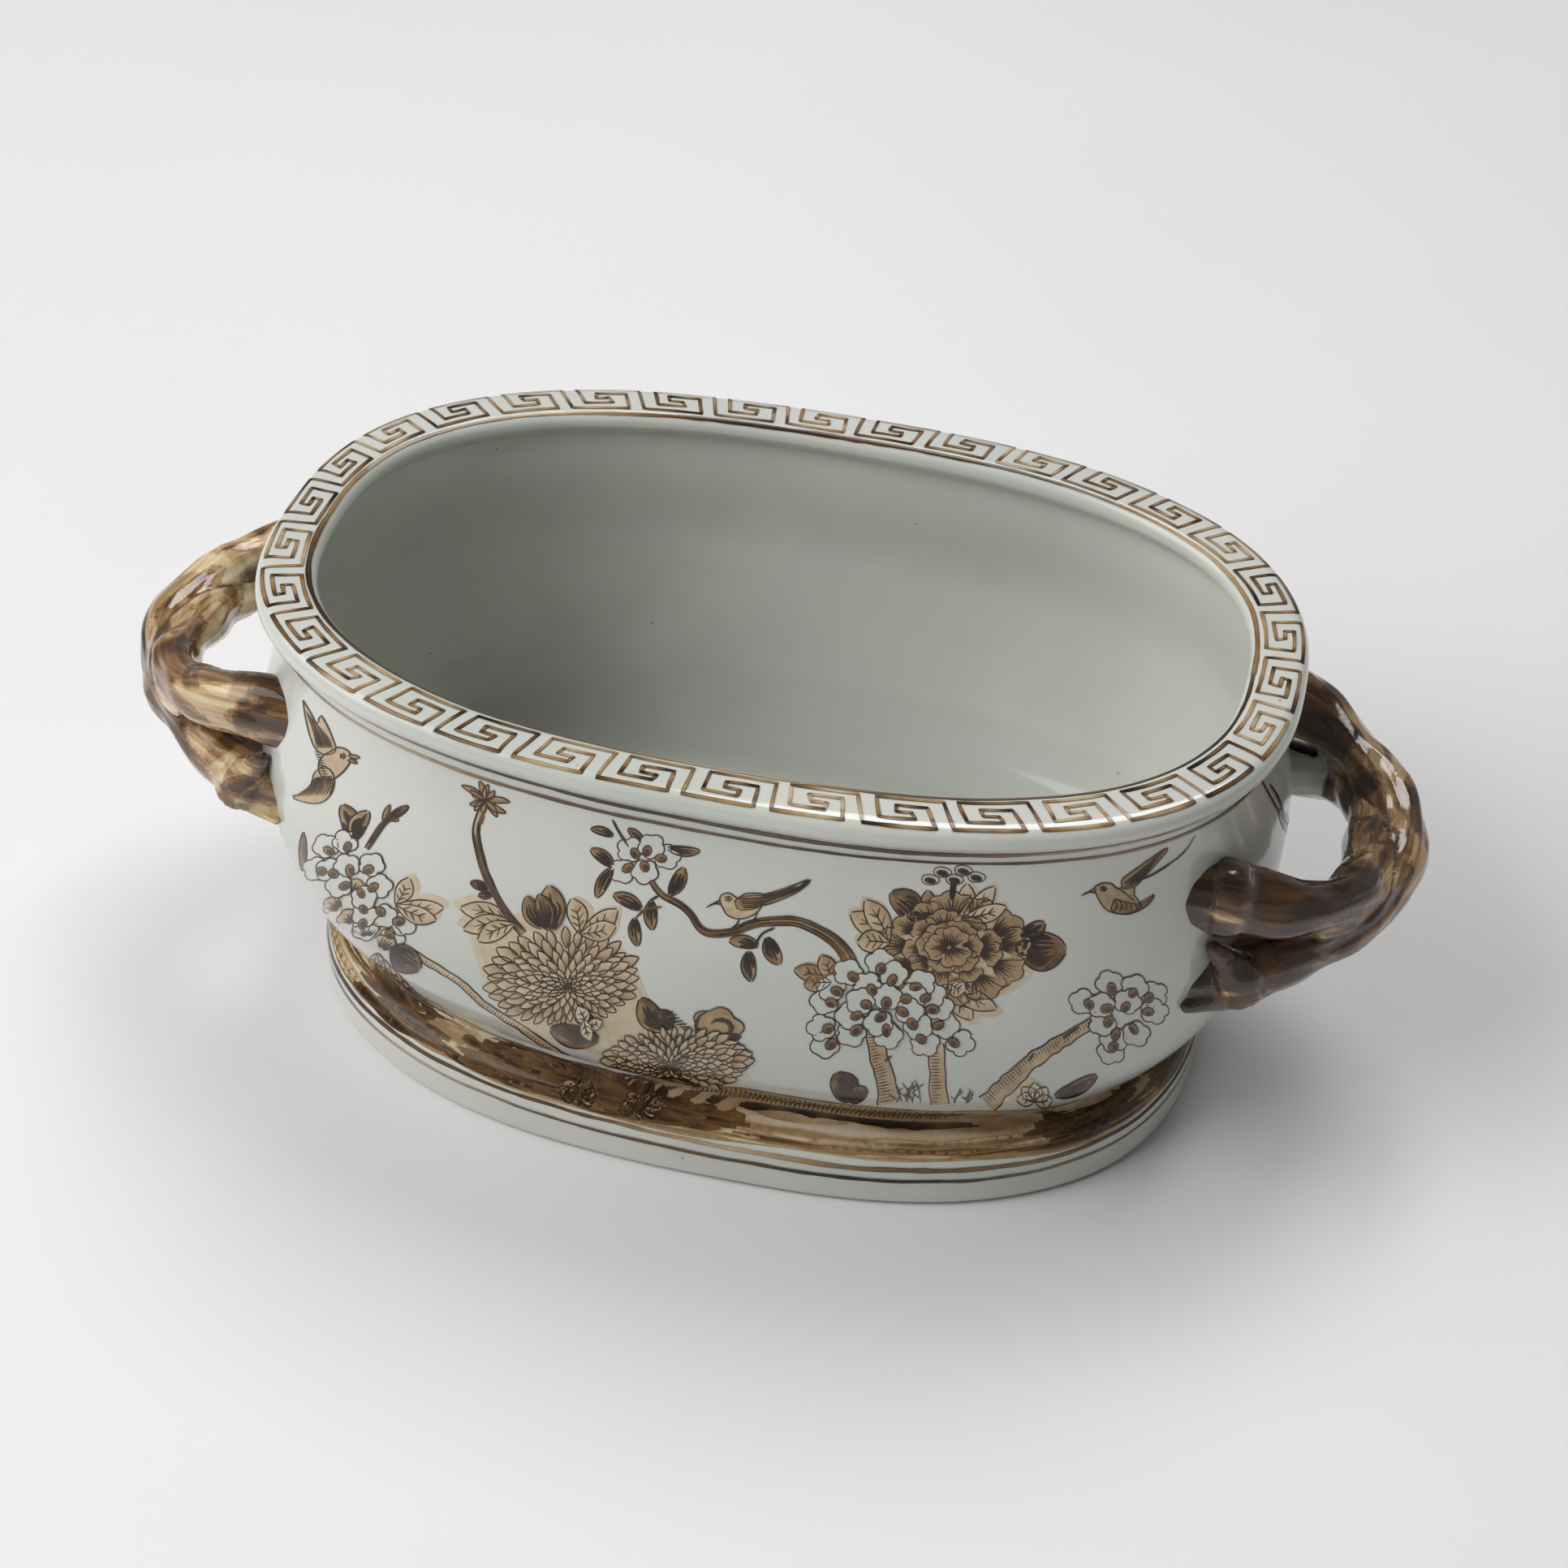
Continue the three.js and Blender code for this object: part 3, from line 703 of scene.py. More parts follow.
    def chrysanthemum(self, centre, heart, radii, rings=6, level=LEAF, ink=0.27):
        """Rings of pointed petals round an off-centre heart, outermost first."""
        centre, heart, radii = (np.asarray(x, float) for x in (centre, heart, radii))
        for ring in range(rings, 0, -1):
            share = ring / rings
            count = int(9 + 23 * share)
            for k in range(count):
                angle = 2 * math.pi * (k + 0.5 * (ring % 2) + self.random.uniform(-0.12, 0.12)) / count
                ray = radii * (math.cos(angle), math.sin(angle))
                grown = share * self.random.uniform(0.93, 1.06)
                root = max(0.0, share - 2.1 / rings)
                tip, base = heart + (centre - heart + ray) * grown, heart + (centre - heart + ray) * root
                near = 0.92 * np.linalg.norm(ray) * 2 * math.pi / count * share
                wide = min(near, 0.42 * np.linalg.norm(tip - base))
                tone = ink * (0.8 + 0.45 * share) * self.random.uniform(0.85, 1.15)
                self.leaf(base, tip, wide, tone, 0.82, 0, 0, level + 1.1 * (rings - ring), 1.15, 0.2, 0.85, 0.5)

    def fan_petal(self, root, angle, length, spread, level, ink=0.4, hatches=6):
        """A broad scalloped petal, brushed dark from its root."""
        turns = np.radians(np.linspace(-spread, spread, 21))
        reach = length * (0.88 + 0.12 * np.abs(np.cos(2.5 * math.pi / 2 * turns / math.radians(spread))))
        reach = reach * (1 - 0.22 * (turns / math.radians(spread)) ** 4)
        facing = math.radians(angle)
        edge = np.stack([np.cos(facing + turns) * reach, np.sin(facing + turns) * reach * 0.8], -1) + root
        self.wash(np.vstack([edge, [root]]), ink * 1.15, level, 0.36, 0.1, mix(np.asarray(root, float), edge.mean(0), 0.45))
        self.stroke(edge, None, 0.8, level + 0.7, (0.04, 0.04))
        for turn in np.linspace(-0.75, 0.75, hatches) * spread:
            ray = np.array([math.cos(facing + math.radians(turn)), 0.8 * math.sin(facing + math.radians(turn))]) * length
            start, end = root + ray * 0.2, root + ray * self.random.uniform(0.56, 0.84)
            wide = self.line_width * self.random.uniform(1.1, 2.1)
            self.stroke([start, end], wide, 0.76, level + 0.7, (0.1, 0.7), 0.1, None, 0, (0.9, 0.72))

    def peony(self, centre, heart, radii, level=LEAF, ink=0.4):
        centre, heart, radii = (np.asarray(x, float) for x in (centre, heart, radii))
        for ring, (share, count) in enumerate(((0.62, 12), (0.42, 9), (0.22, 6), (0.06, 3))):
            for k in range(count):
                angle = 360 * (k + 0.5 * ring + self.random.uniform(-0.2, 0.2)) / count
                ray = np.array([math.cos(math.radians(angle)), math.sin(math.radians(angle))])
                root = mix(heart, centre, share) + radii * ray * (share - 0.12)
                length = radii[0] * (1.05 - share if ring == 0 else 0.34)
                self.fan_petal(root, angle, length * self.random.uniform(0.88, 1.14), 46, level + 1.4 * ring, ink, 8)

    def limb(self, points, width, ink=0.45, level=LEAF):
        """A branch: a wash with dark edges and streaks along it."""
        self.stroke(points, width, ink, level, (0.03, 0.05), 0.12, (0.8, 1.0, 1.5))
        line, _ = smooth_line(points, self.cell)
        widths = np.interp(np.linspace(0, 1, len(line)), np.linspace(0, 1, np.size(width)), np.atleast_1d(width))
        for off in (-0.5, -0.2, 0.15, 0.48):
            edge = line + across(line) * (widths * off)[:, None]
            first = int(len(line) * self.random.uniform(0, 0.25)) if abs(off) < 0.3 else 0
            self.stroke(edge[first:], 1.2 * self.line_width, 0.8, level + 1.5, (0.1, 0.1), 0.4)

    def trunk(self, points, width, ink=0.26, level=LEAF - 1):
        """A hatched trunk with ragged edges."""
        line, ways = smooth_line(points, self.cell * 0.5)
        widths = np.interp(np.linspace(0, 1, len(line)), np.linspace(0, 1, np.size(width)), np.atleast_1d(width))
        self.stroke(points, width, ink, level, (0.02, 0.02), 0.08, (1, 1, 1))
        sides = across(line)
        for s in (-0.5, 0.5):
            ragged = widths * (s + 0.09 * self.wander(ways, 9 * self.cell / PHOTO_CELL))
            self.stroke(line + sides * ragged[:, None], None, 0.8, level + 1, (0.02, 0.02))
        for k in range(0, len(line) - 1):
            start = line[k] + sides[k] * widths[k] * 0.42
            end = line[k] + sides[k] * widths[k] * self.random.uniform(-0.3, 0.05)
            self.stroke([start, end], 0.8 * self.line_width, 0.7, level + 1)

    def twigs(self, root, height, count):
        """Fine ground twigs that fork."""
        root = np.asarray(root, float)
        for k in range(count):
            foot = root + (self.random.uniform(-1, 1) * height * 0.7, 0)
            top = foot + (self.random.uniform(-0.5, 0.5) * height, -height * self.random.uniform(0.6, 1))
            middle = mix(foot, top, 0.5) + (self.random.uniform(-0.15, 0.15) * height, 0)
            self.stroke([foot, middle, top], 0.8 * self.line_width, 0.72)
            for s in (-1, 1):
                fork = mix(foot, top, 0.4 + 0.2 * s)
                self.stroke([fork, fork + (s * height * 0.28, -height * 0.2)], 0.7 * self.line_width, 0.7)

    def finish(self, material, slot):
        """Lays the canvas on the pot and makes the piece."""
        s, v = self.place(np.vstack(self.points))
        lift = np.concatenate(self.lifts)
        points, normals = surface(s, v, lift)
        faces = []
        for face in self.faces:
            n = len(face)
            a, b, c = (points[face[k]] for k in (0, n // 3, 2 * n // 3))
            faces.append(face if np.dot(np.cross(b - a, c - a), normals[face[0]]) > 0 else face[::-1])
        ink = np.clip(np.concatenate(self.inks), 0, 1)
        piece = new_piece(self.name, points, faces, material, slot, normals, {"ink": ink})
        add_ink_map(piece, ink, s)
        return piece


def painted_glaze(name):
    """Brown painting under the glaze: bare glaze at no ink, then tan to near black."""
    nodes = Nodes(name)
    place = nodes.place()
    grain = nodes.noise(place, 420, 2, 0.6)
    cloud = nodes.noise(place, 75, 2)
    ink = nodes.value("ink")
    wavy = nodes.maths("ADD", nodes.maths("MULTIPLY", grain, 0.16), nodes.maths("MULTIPLY", cloud, 0.16))
    wavy = nodes.maths("MULTIPLY", nodes.maths("SUBTRACT", wavy, 0.16), nodes.ranged(ink, 0.02, 0.2))
    tint = nodes.ramp(
        nodes.maths("ADD", ink, wavy, True),
        (0.0, srgb(212, 206, 190)),
        (0.2, srgb(188, 171, 142)),
        (0.4, srgb(150, 124, 88)),
        (0.6, srgb(102, 77, 49)),
        (0.8, srgb(60, 43, 27)),
        (1.0, srgb(27, 20, 14)),
    )
    colour = nodes.mixed(nodes.ranged(ink, 0.01, 0.09), glaze_colour(nodes), tint)
    nodes.put(nodes.shader.inputs["Base Color"], colour)
    finish_glaze(nodes, 0.1, 0.15, 0.3)
    return nodes.material


def add_ink_map(piece, ink, s):
    """A map with the ink along one side, so that each tone has its own place."""
    layer = piece.data.uv_layers.new(name="OFBake")
    corner = np.zeros(len(piece.data.loops), np.int32)
    piece.data.loops.foreach_get("vertex_index", corner)
    spread = 0.5 + 0.45 * np.sin(s * 911)
    layer.data.foreach_set("uv", np.stack([0.02 + 0.96 * ink, spread], -1)[corner].astype(np.float32).ravel())


# Decoration: a key pattern on the rim, lines round the neck and foot, a
# streaky ground, and birds, flowers and trees on both sides.

KEY_UNITS, KEY_PHASE, KEY_OUTER, KEY_INNER = 34, 0.4, 3.6, 17.6
KEY_PATH = np.array([
    (0, 0), (0.8, 0), (0.8, 0.74), (0.42, 0.74), (0.42, 0.5), (0.6, 0.5),
    (0.6, 0.26), (0.2, 0.26), (0.2, 1), (1, 1), (1, 0),
])
KEY_STROKE, KEY_CELL = 1.5, 3.2
NECK_LINES, FOOT_LINES = ((178, 1.7), (173.6, 1.2)), ((20.4, 1.9), (14.6, 1.5))
LIP_LINE = (20.6, 1.7)
GROUND_BOTTOM, GROUND_INK = 22.8, 0.42
# The ground's top is below the waist, and above it where the trees stand. It is
# the same for both halves of the way round.
GROUND_SHARES, GROUND_TOPS = (0, 0.44, 0.5, 0.54, 0.72, 0.8, 1), (31, 31, 40, 47, 47, 38, 31)
SLOPE_BOTTOM, SLOPE_TOP = 24, 30.8
# Dark stretches of the ground: share of half the way round and half length
GROUND_DARK = ((0.04, 16), (0.23, 20), (0.33, 16), (0.38, 24), (0.43, 18), (0.48, 22), (0.82, 22), (0.93, 18))
# Dark leaves over the ground: share of half the way round and height
GROUND_LEAVES = ((0.41, 27.2), (0.46, 27.8))
GROUND_HATCHED, HATCH_TOP, HATCH_FOOT, HATCH_PITCH = (0.5, 0.71), 45.5, 31.2, 2.1


def rim_place(points):
    return points[:, 0] / RIM_GIRTH, rim_v(points[:, 1])


def band_place(points):
    return points[:, 0] / RIM_GIRTH, outside_v(points[:, 1])


def back_place(points):
    """The back's painting has the front's canvas, half a turn round the pot."""
    s, v = photo_place(points)
    return s - 0.5, v


def paint_keys(p):
    pitch = RIM_GIRTH / KEY_UNITS
    for k in range(KEY_UNITS):
        corners = KEY_PATH + p.random.uniform(-0.018, 0.018, KEY_PATH.shape)
        corners[0] = (0, 0) if k == 0 else last - (1, 0)
        last = corners[-1]
        strength = 0.44 + 0.13 * math.sin(2.1 * k) + 0.1 * p.random.random()
        scale = np.array([pitch, KEY_INNER - KEY_OUTER])
        start = np.array([(k + KEY_PHASE) * pitch, KEY_OUTER])
        for a, b in zip(corners, corners[1:]):
            a, b = start + a * scale, start + b * scale
            reach = unit(b - a) * 0.4
            middle = mix(a, b, 0.5) + p.random.uniform(-0.22, 0.22, 2)
            ink = strength * p.random.uniform(0.82, 1.15)
            dark = p.random.choice([0, 0.1, 0.3])
            tones = (ink + dark + 0.2, ink + dark, ink, ink * 0.9, ink + p.random.uniform(0, 0.3))
            p.stroke([a - reach, middle, b + reach], KEY_STROKE, ink, LINE, (0.03, 0.06), 0.14, (0.85, 1, 1.2), 0, tones)


def paint_ring(p, height, width, ink, sway):
    """A line all the way round, with dark stretches."""
    steps = 72
    x = np.linspace(0, RIM_GIRTH, steps + 1)
    y = height + sway * (np.sin(2 * math.pi * x / RIM_GIRTH * 3 + height) + 0.5 * p.random.uniform(-1, 1, steps + 1))
    y[-1] = y[0]
    wide = width * (1 + 0.25 * np.sin(x / 47 + height))
    tone = ink * (1 + 0.35 * np.sin(x / 61 + 1.7 * height) + 0.2 * np.sin(x / 23))
    p.stroke(np.stack([x, y], 1), wide, ink, LINE, (0.001, 0.001), 0.15, (0.9, 1, 1.1), 0, tone)


def ground_streak(p, start, height, length, width, ink, level, sway=(0, 0, 0), edge=0.0):
    """A brush streak whose edges fade into the ground, as far as edge lets them."""
    along = np.linspace(0, 1, max(7, int(length / 5)))
    columns = np.array([-1, -0.5, 0, 0.5, 1])
    middle = height + np.interp(along, (0, 0.5, 1), sway)
    half = width / 2 * np.sin(math.pi * np.clip(along, 0.02, 0.98)) ** 0.35
    half = half * (1 + 0.3 * np.sin(along * length / 6 + start))
    x = np.broadcast_to((start + length * along)[:, None], (len(along), 5))
    y = middle[:, None] + half[:, None] * columns
    fade = np.array([0, 0.8, 1, 0.75, 0]) * np.sin(math.pi * np.clip(along, 0.0, 1)[:, None]) ** 0.5
    fade = np.maximum(fade, edge) * p.random.uniform(0.88, 1.06, fade.shape)
    p.add(np.stack([x, y], -1), mix(GROUND_INK, ink, fade), level)


def paint_ground(p):
    """The streaky ground on the foot's slope, brushed round the pot."""
    columns, rows = 420, 11
    x = np.linspace(0, RIM_GIRTH, columns + 1)
    turn = 2 * math.pi * x / RIM_GIRTH
    top = np.interp(2 * x / RIM_GIRTH % 1, GROUND_SHARES, GROUND_TOPS)
    top = top + 0.35 * np.sin(8 * turn) + 0.2 * np.sin(21 * turn)
    bottom = GROUND_BOTTOM + 0.9 * np.sin(5 * turn + 1) + 0.5 * np.sin(13 * turn)
    share = np.linspace(0, 1, rows)
    grid = np.stack([np.broadcast_to(x, (rows, columns + 1)), mix(bottom, top, share[:, None])], -1)
    streak = np.sin(turn * 7 + 5 * share[:, None]) + np.sin(turn * 17 + 9 * share[:, None] ** 2)
    ink = GROUND_INK + 0.04 * streak + 0.03 * p.random.uniform(-1, 1, (rows, columns + 1))
    p.add(grid, ink * np.interp(share, (0, 0.1, 0.5, 0.9, 1), (0.8, 1.15, 0.9, 1.05, 0.8))[:, None], WASH)
    p.stroke(np.stack([x, top - 0.2], 1), 0.6, 0.7, LINE, (0.001, 0.001), 0.5, None, 0, 0.6 + 0.25 * np.sin(9 * turn))
    for k in range(420):
        height = p.random.uniform(SLOPE_BOTTOM, SLOPE_TOP)
        ink = p.random.choice([0.16, 0.24, 0.42, 0.55, 0.7])
        width, length = p.random.uniform(0.8, 2.4), p.random.uniform(20, 90)
        start = p.random.uniform(0, RIM_GIRTH)
        ground_streak(p, start, height, length, width, ink, LEAF + 0.1 * (k % 23), p.random.uniform(-0.4, 0.4, 3))
    for half in (0, 0.5):
        paint_ground_half(p, half * RIM_GIRTH, RIM_GIRTH / 2)


def paint_ground_half(p, first, girth):
    """What lies over the ground on one side: dark stretches, leaves and hatching."""
    for centre, reach in GROUND_DARK:
        for k in range(int(1.1 * reach)):
            start = first + girth * centre + p.random.uniform(-1.5, 0) * reach
            height, length = p.random.uniform(SLOPE_BOTTOM, SLOPE_TOP), p.random.uniform(0.8, 2.2) * reach
            width, ink = p.random.uniform(1.1, 2.8), p.random.uniform(0.76, 1.0)
            sway = p.random.uniform(-1, 1) * np.array([-0.6, 0.4, 0.6])
            ground_streak(p, start, height, length, width, ink, LEAF + 2.4 + 0.1 * (k % 13), sway, 0.45)
    for centre, height in GROUND_LEAVES:
        middle = np.array([first + girth * centre, height])
        for k in range(7):
            angle = 0.35 + 2 * math.pi * k / 7 + p.random.uniform(-0.2, 0.2)
            reach = np.array([p.random.uniform(7, 11) * math.cos(angle), 3.2 * math.sin(angle)])
            p.leaf(middle + 0.2 * reach, middle + reach, p.random.uniform(2.4, 3.4), 0.5, 0.86, 0.06, 1, LEAF + 4.2)
    low, high = (first + girth * share for share in GROUND_HATCHED)
    for start in np.arange(low, high, HATCH_PITCH):
        top, foot = HATCH_TOP - p.random.uniform(0, 2), HATCH_FOOT + p.random.uniform(-0.5, 0.8)
        p.stroke([(start, top), (start - 0.4, mix(foot, top, 0.4)), (start - 2, foot)], 0.75, 0.92, LINE)
    p.stroke([(low - 14, 30.4), (mix(low, high, 0.5), 30.7), (high + 10, 30.2)], 1.5, 0.8, LINE)
    ground_streak(p, low - 20, 29.2, high - low + 50, 1.7, 0.12, LEAF + 2.5, (0.3, 0, -0.2))


def paint_left_side(p):
    """A flying bird over a bush of blossoms, with a slanting bamboo stem."""
    high_wing = [(372, 863), (381, 878), (390, 893), (393, 881), (402, 895), (409, 912), (412, 926), (398, 930)]
    high_wing += [(387, 922), (380, 905), (375, 884)]
    low_wing = [(398, 944), (408, 952), (410, 968), (404, 982), (392, 990), (374, 989), (358, 982), (372, 978)]
    low_wing += [(382, 966), (386, 952)]
    body = [(406, 926), (416, 921), (428, 926), (431, 936), (425, 947), (416, 956), (404, 962), (394, 956)]
    body += [(391, 943), (396, 932)]
    for outline, middle in ((high_wing, (396, 914)), (low_wing, (394, 970)), (body, (411, 941))):
        p.shape(outline, 0.27, middle)
    for k in range(10):
        root = mix(np.array([390, 922]), np.array([408, 922]), k / 9)
        tip = mix(np.array([374, 868]), np.array([395, 886]), k / 9) + (2, 8 + 0.8 * k)
        p.stroke([root, mix(root, tip, 0.5) + (1.5, 0), tip], 0.8 * p.line_width, 0.75)
        start = mix(np.array([386, 926]), np.array([396, 956]), k / 9)
        p.stroke([start, start + (8, 2)], p.line_width, 0.85)
    for k in range(11):
        root = mix(np.array([388, 958]), np.array([406, 956]), k / 10)
        tip = mix(np.array([362, 982]), np.array([404, 980]), k / 10)
        p.stroke([root, mix(root, tip, 0.5) + (3, 1), tip], 0.9 * p.line_width, 0.8)
    p.eye((421, 932), (3.6, 3.4))
    p.leaf((428, 931), (442, 934), 5, 0.45, 0.85, 0.05, 0, LEAF + 3)
    p.leaf((427, 937), (439, 941), 4, 0.45, 0.85, -0.05, 0, LEAF + 3)
    p.leaf((371, 1074), (372, 1026), 9, 0.55, 0.85)
    p.dark_leaf((432, 1036), (420, 992), 24, 0.1, 3, 0.5)
    p.dark_leaf((434, 1036), (452, 1000), 22, -0.1, 3, 0.42, LEAF + 1)
    p.limb([(450, 1047), (470, 1017), (484, 1006)], 6, 0.5)
    p.dark_leaf((476, 1010), (502, 994), 10, 0, 2, 0.6)
    p.leaf((470, 1012), (479, 992), 7, 0.5)
    p.leaf((474, 1006), (490, 1012), 7, 0.5)
    p.lobed_leaf((486, 1116), ((503, 1083), (545, 1120), (536, 1135)), 22, 0.22, (10, -8))
    for k, (x, y) in enumerate(((420, 1122), (436, 1140), (452, 1158), (432, 1104), (466, 1172))):
        p.fan_petal(np.array([x, y], float), 215 + 24 * k, 26, 55, LEAF + 1.2 * k, 0.3, 7)
    p.dark_leaf((482, 1168), (516, 1196), 32, 0.05, 5, 0.62, LEAF + 5)
    for k in range(7):
        x, y = mix(464, 512, k / 6), mix(1176, 1226, k / 6)
        p.leaf((x, y), (x + 10, y + 22), 11, 0.2, 0.7, 0.1, 1, LEAF + 0.4 * k)
        p.leaf((x, y), (x - 12, y + 14), 10, 0.18, 0.7, -0.1, 1, LEAF + 0.4 * k)
    spots = (
        (404, 1049), (427, 1044), (395, 1074), (410, 1077), (430, 1073), (453, 1072), (459, 1094),
        (444, 1101), (447, 1121), (468, 1124), (490, 1136), (479, 1152), (446, 1139), (424, 1092),
    )
    p.blossoms(spots, 16.5)
    stem = [(490, 1166), (540, 1196), (567, 1213), (597, 1240), (640, 1267), (680, 1295), (715, 1315), (762, 1342)]
    p.trunk(stem, 7.5, 0.22)


def paint_chrysanthemums(p):
    """Two large chrysanthemums over a wash, with a thistle on a tall stalk."""
    wash = [(572, 1130), (640, 1128), (720, 1150), (775, 1178), (800, 1235), (850, 1270), (925, 1330)]
    wash += [(905, 1352), (800, 1340), (730, 1300), (650, 1270), (606, 1232), (584, 1180)]
    line, _ = smooth_line(wash + wash[:1], 16)
    p.wash(line[:-1], 0.2, WASH, 0.6, 0.1, (740, 1240))
    p.limb([(594, 992), (585, 1022), (590, 1055), (600, 1085), (620, 1122), (644, 1152)], (6, 8, 8, 7, 9), 0.4)
    spikes = (
        (567, 969), (578, 975), (589, 964), (600, 968), (608, 976), (627, 990), (622, 1003), (611, 1008),
        (594, 1004), (577, 992), (583, 1000),
    )
    for k, tip in enumerate(spikes):
        p.leaf((596, 988), tip, 7.5, 0.42, 0.82, 0.06 * (-1) ** k, 0, LEAF + 0.3 * k)
    p.stroke([(594, 1004), (592, 1010), (590, 1018)], 5, 0.7)
    p.dark_leaf((600, 1096), (578, 1088), 11, 0, 2, 0.66)
    p.dark_leaf((606, 1104), (588, 1104), 10, 0, 2, 0.66)
    p.lobed_leaf((634, 1139), ((566, 1120), (570, 1146), (588, 1160)), 24, 0.22, (-14, -10))
    p.lobed_leaf((714, 1152), ((704, 1108), (760, 1122), (758, 1142)), 25, 0.24, (8, -4))
    p.chrysanthemum((694, 1206), (700, 1217), (97, 61), 6)
    p.dark_leaf((680, 1147), (676, 1092), 30, 0.05, 5, 0.45, LEAF + 9)
    p.dark_leaf((668, 1144), (648, 1105), 21, -0.08, 4, 0.5, LEAF + 10)
    p.dark_leaf((675, 1146), (664, 1102), 21, 0.05, 4, 0.55, LEAF + 11)
    p.dark_leaf((822, 1272), (788, 1232), 30, -0.1, 5, 0.55, LEAF)
    p.dark_leaf((826, 1270), (812, 1246), 18, 0.1, 3, 0.7, LEAF + 1)
    for k in range(7):
        x, y = mix(822, 846, k / 6), mix(1248, 1266, k / 6)
        p.stroke([(x - 6, y + 4), (x + 8, y - 1 + k)], None, 0.85, LINE)
    paint_rock(p, (884, 1266), (33, 24), 0.36)
    p.chrysanthemum((833, 1308), (825, 1315), (91, 43), 6, LEAF + 8)
    p.dark_leaf((737, 1282), (678, 1268), 27, -0.05, 5, 0.66, LEAF + 9)
    p.leaf((722, 1262), (712, 1240), 18, 0.12, 0.8, 0.05, 2, LEAF + 16)
    p.leaf((724, 1264), (742, 1258), 15, 0.12, 0.8, 0.05, 2, LEAF + 17)
    p.leaf((720, 1256), (728, 1282), 15, 0.12, 0.8, 0.05, 2, LEAF + 18)
    p.dark_leaf((865, 1344), (786, 1338), 20, 0.03, 6, 0.7, LEAF + 16)


def paint_rock(p, centre, radii, ink):
    """A rock like a folded leaf, with swirls."""
    outline = p.oval(centre, radii, 12, 40, 5, 0.24, 0.6)
    p.wash(outline, ink, LEAF, 0.85)
    p.loop(outline, None, 0.84, LINE)
    middle = np.asarray(centre, float)
    for k in range(9):
        share = 0.3 + 0.07 * k
        arc = np.radians(np.linspace(-150 + 36 * k, -40 + 36 * k, 6))
        swirl = middle + np.stack([np.cos(arc) * radii[0], np.sin(arc) * radii[1]], -1) * share
        p.stroke(swirl, 1.3 * p.line_width, 0.7 + 0.02 * k, LINE)
    p.wash(p.oval(middle + (radii[0] * 0.6, radii[1] * 0.55), (radii[0] * 0.28, radii[1] * 0.2)), 0.84, LINE + 0.5, 0.8)


def paint_branch(p):
    """A flowering branch with a perched bird."""
    branch = [
        (796, 1074), (805, 1092), (817, 1105), (835, 1114), (850, 1127), (862, 1145), (878, 1151), (902, 1149),
        (925, 1140), (952, 1136), (982, 1137), (1007, 1147), (1027, 1160), (1042, 1177), (1050, 1197),
    ]
    p.limb(branch, (5, 6, 7, 8, 9, 10, 11, 12, 15, 19), 0.56)
    p.stroke([(754, 1011), (762, 1026), (774, 1044)], 3, 0.75)
    pairs = (
        ((755, 1031), (727, 1022), 10), ((792, 1040), (773, 1022), 10), ((822, 1046), (862, 1050), 12),
        ((755, 1068), (727, 1047), 15), ((754, 1070), (734, 1107), 15), ((825, 1104), (842, 1070), 18),
        ((790, 1121), (755, 1103), 17), ((802, 1110), (803, 1147), 16), ((781, 1132), (785, 1167), 15),
    )
    for base, tip, width in pairs:
        p.dark_leaf(base, tip, width, 0.05, 3, 0.48)
    p.stroke([(815, 1118), (796, 1121), (782, 1132)], 3, 0.75)
    p.stroke([(800, 1110), (812, 1104)], 3, 0.75)
    p.blossoms(((782, 1052), (797, 1049), (814, 1058), (773, 1070), (794, 1068)), 17)
    p.stroke([(954, 1144), (938, 1152), (928, 1170)], 2.6, 0.75)
    p.dark_leaf((934, 1166), (898, 1160), 16, 0.05, 3, 0.45)
    p.dark_leaf((944, 1156), (960, 1190), 20, 0.05, 3, 0.5)
    p.dark_leaf((922, 1173), (925, 1211), 18, 0.05, 3, 0.5)
    paint_perched_bird(p)


def paint_perched_bird(p):
    """A bird that looks left, with a folded wing and a long tail."""
    body = [(886, 1108), (889, 1103), (897, 1101), (904, 1104), (908, 1108), (918, 1102), (937, 1102), (943, 1106)]
    body += [(938, 1117), (934, 1123), (926, 1129), (911, 1133), (897, 1129), (891, 1121), (888, 1115)]
    wing = [(905, 1111), (908, 1120), (916, 1122), (930, 1120), (941, 1114), (944, 1106), (930, 1104), (912, 1106)]
    tail = [(941, 1103), (965, 1096), (999, 1084), (985, 1098), (962, 1109), (938, 1116)]
    p.shape(tail, 0.36, (958, 1104))
    p.shape(body, 0.26, (913, 1117), LEAF + 1)
    p.shape(wing, 0.44, (925, 1112), LEAF + 2)
    for k in range(5):
        p.stroke([(910 + k, 1108 + 2.6 * k), (927, 1108 + 2.6 * k), (943, 1106 + 2 * k)], None, 0.86, LINE)
        p.stroke([(941, 1105 + 2 * k), (962, 1098 + 1.8 * k), (978 + 3 * k, 1091 + k)], None, 0.82, LINE)
    p.stroke([(973, 1101), (985, 1095), (997, 1085)], 4.5, 0.85, LEAF + 3, (0.4, 0.3))
    for end in ((888, 1109), (889, 1115)):
        p.stroke([end, (879, 1114), (869, 1119)], 1.1 * p.line_width, 0.88, LINE, (0.1, 0.6))
    p.eye((897, 1108), (4.4, 3.2))
    for x, y in ((911, 1132), (933, 1125)):
        p.stroke([(x, y), (x - 4, y + 8), (x - 10, y + 12)], None, 0.85, LINE)
        p.stroke([(x - 4, y + 8), (x + 2, y + 11)], None, 0.85, LINE)


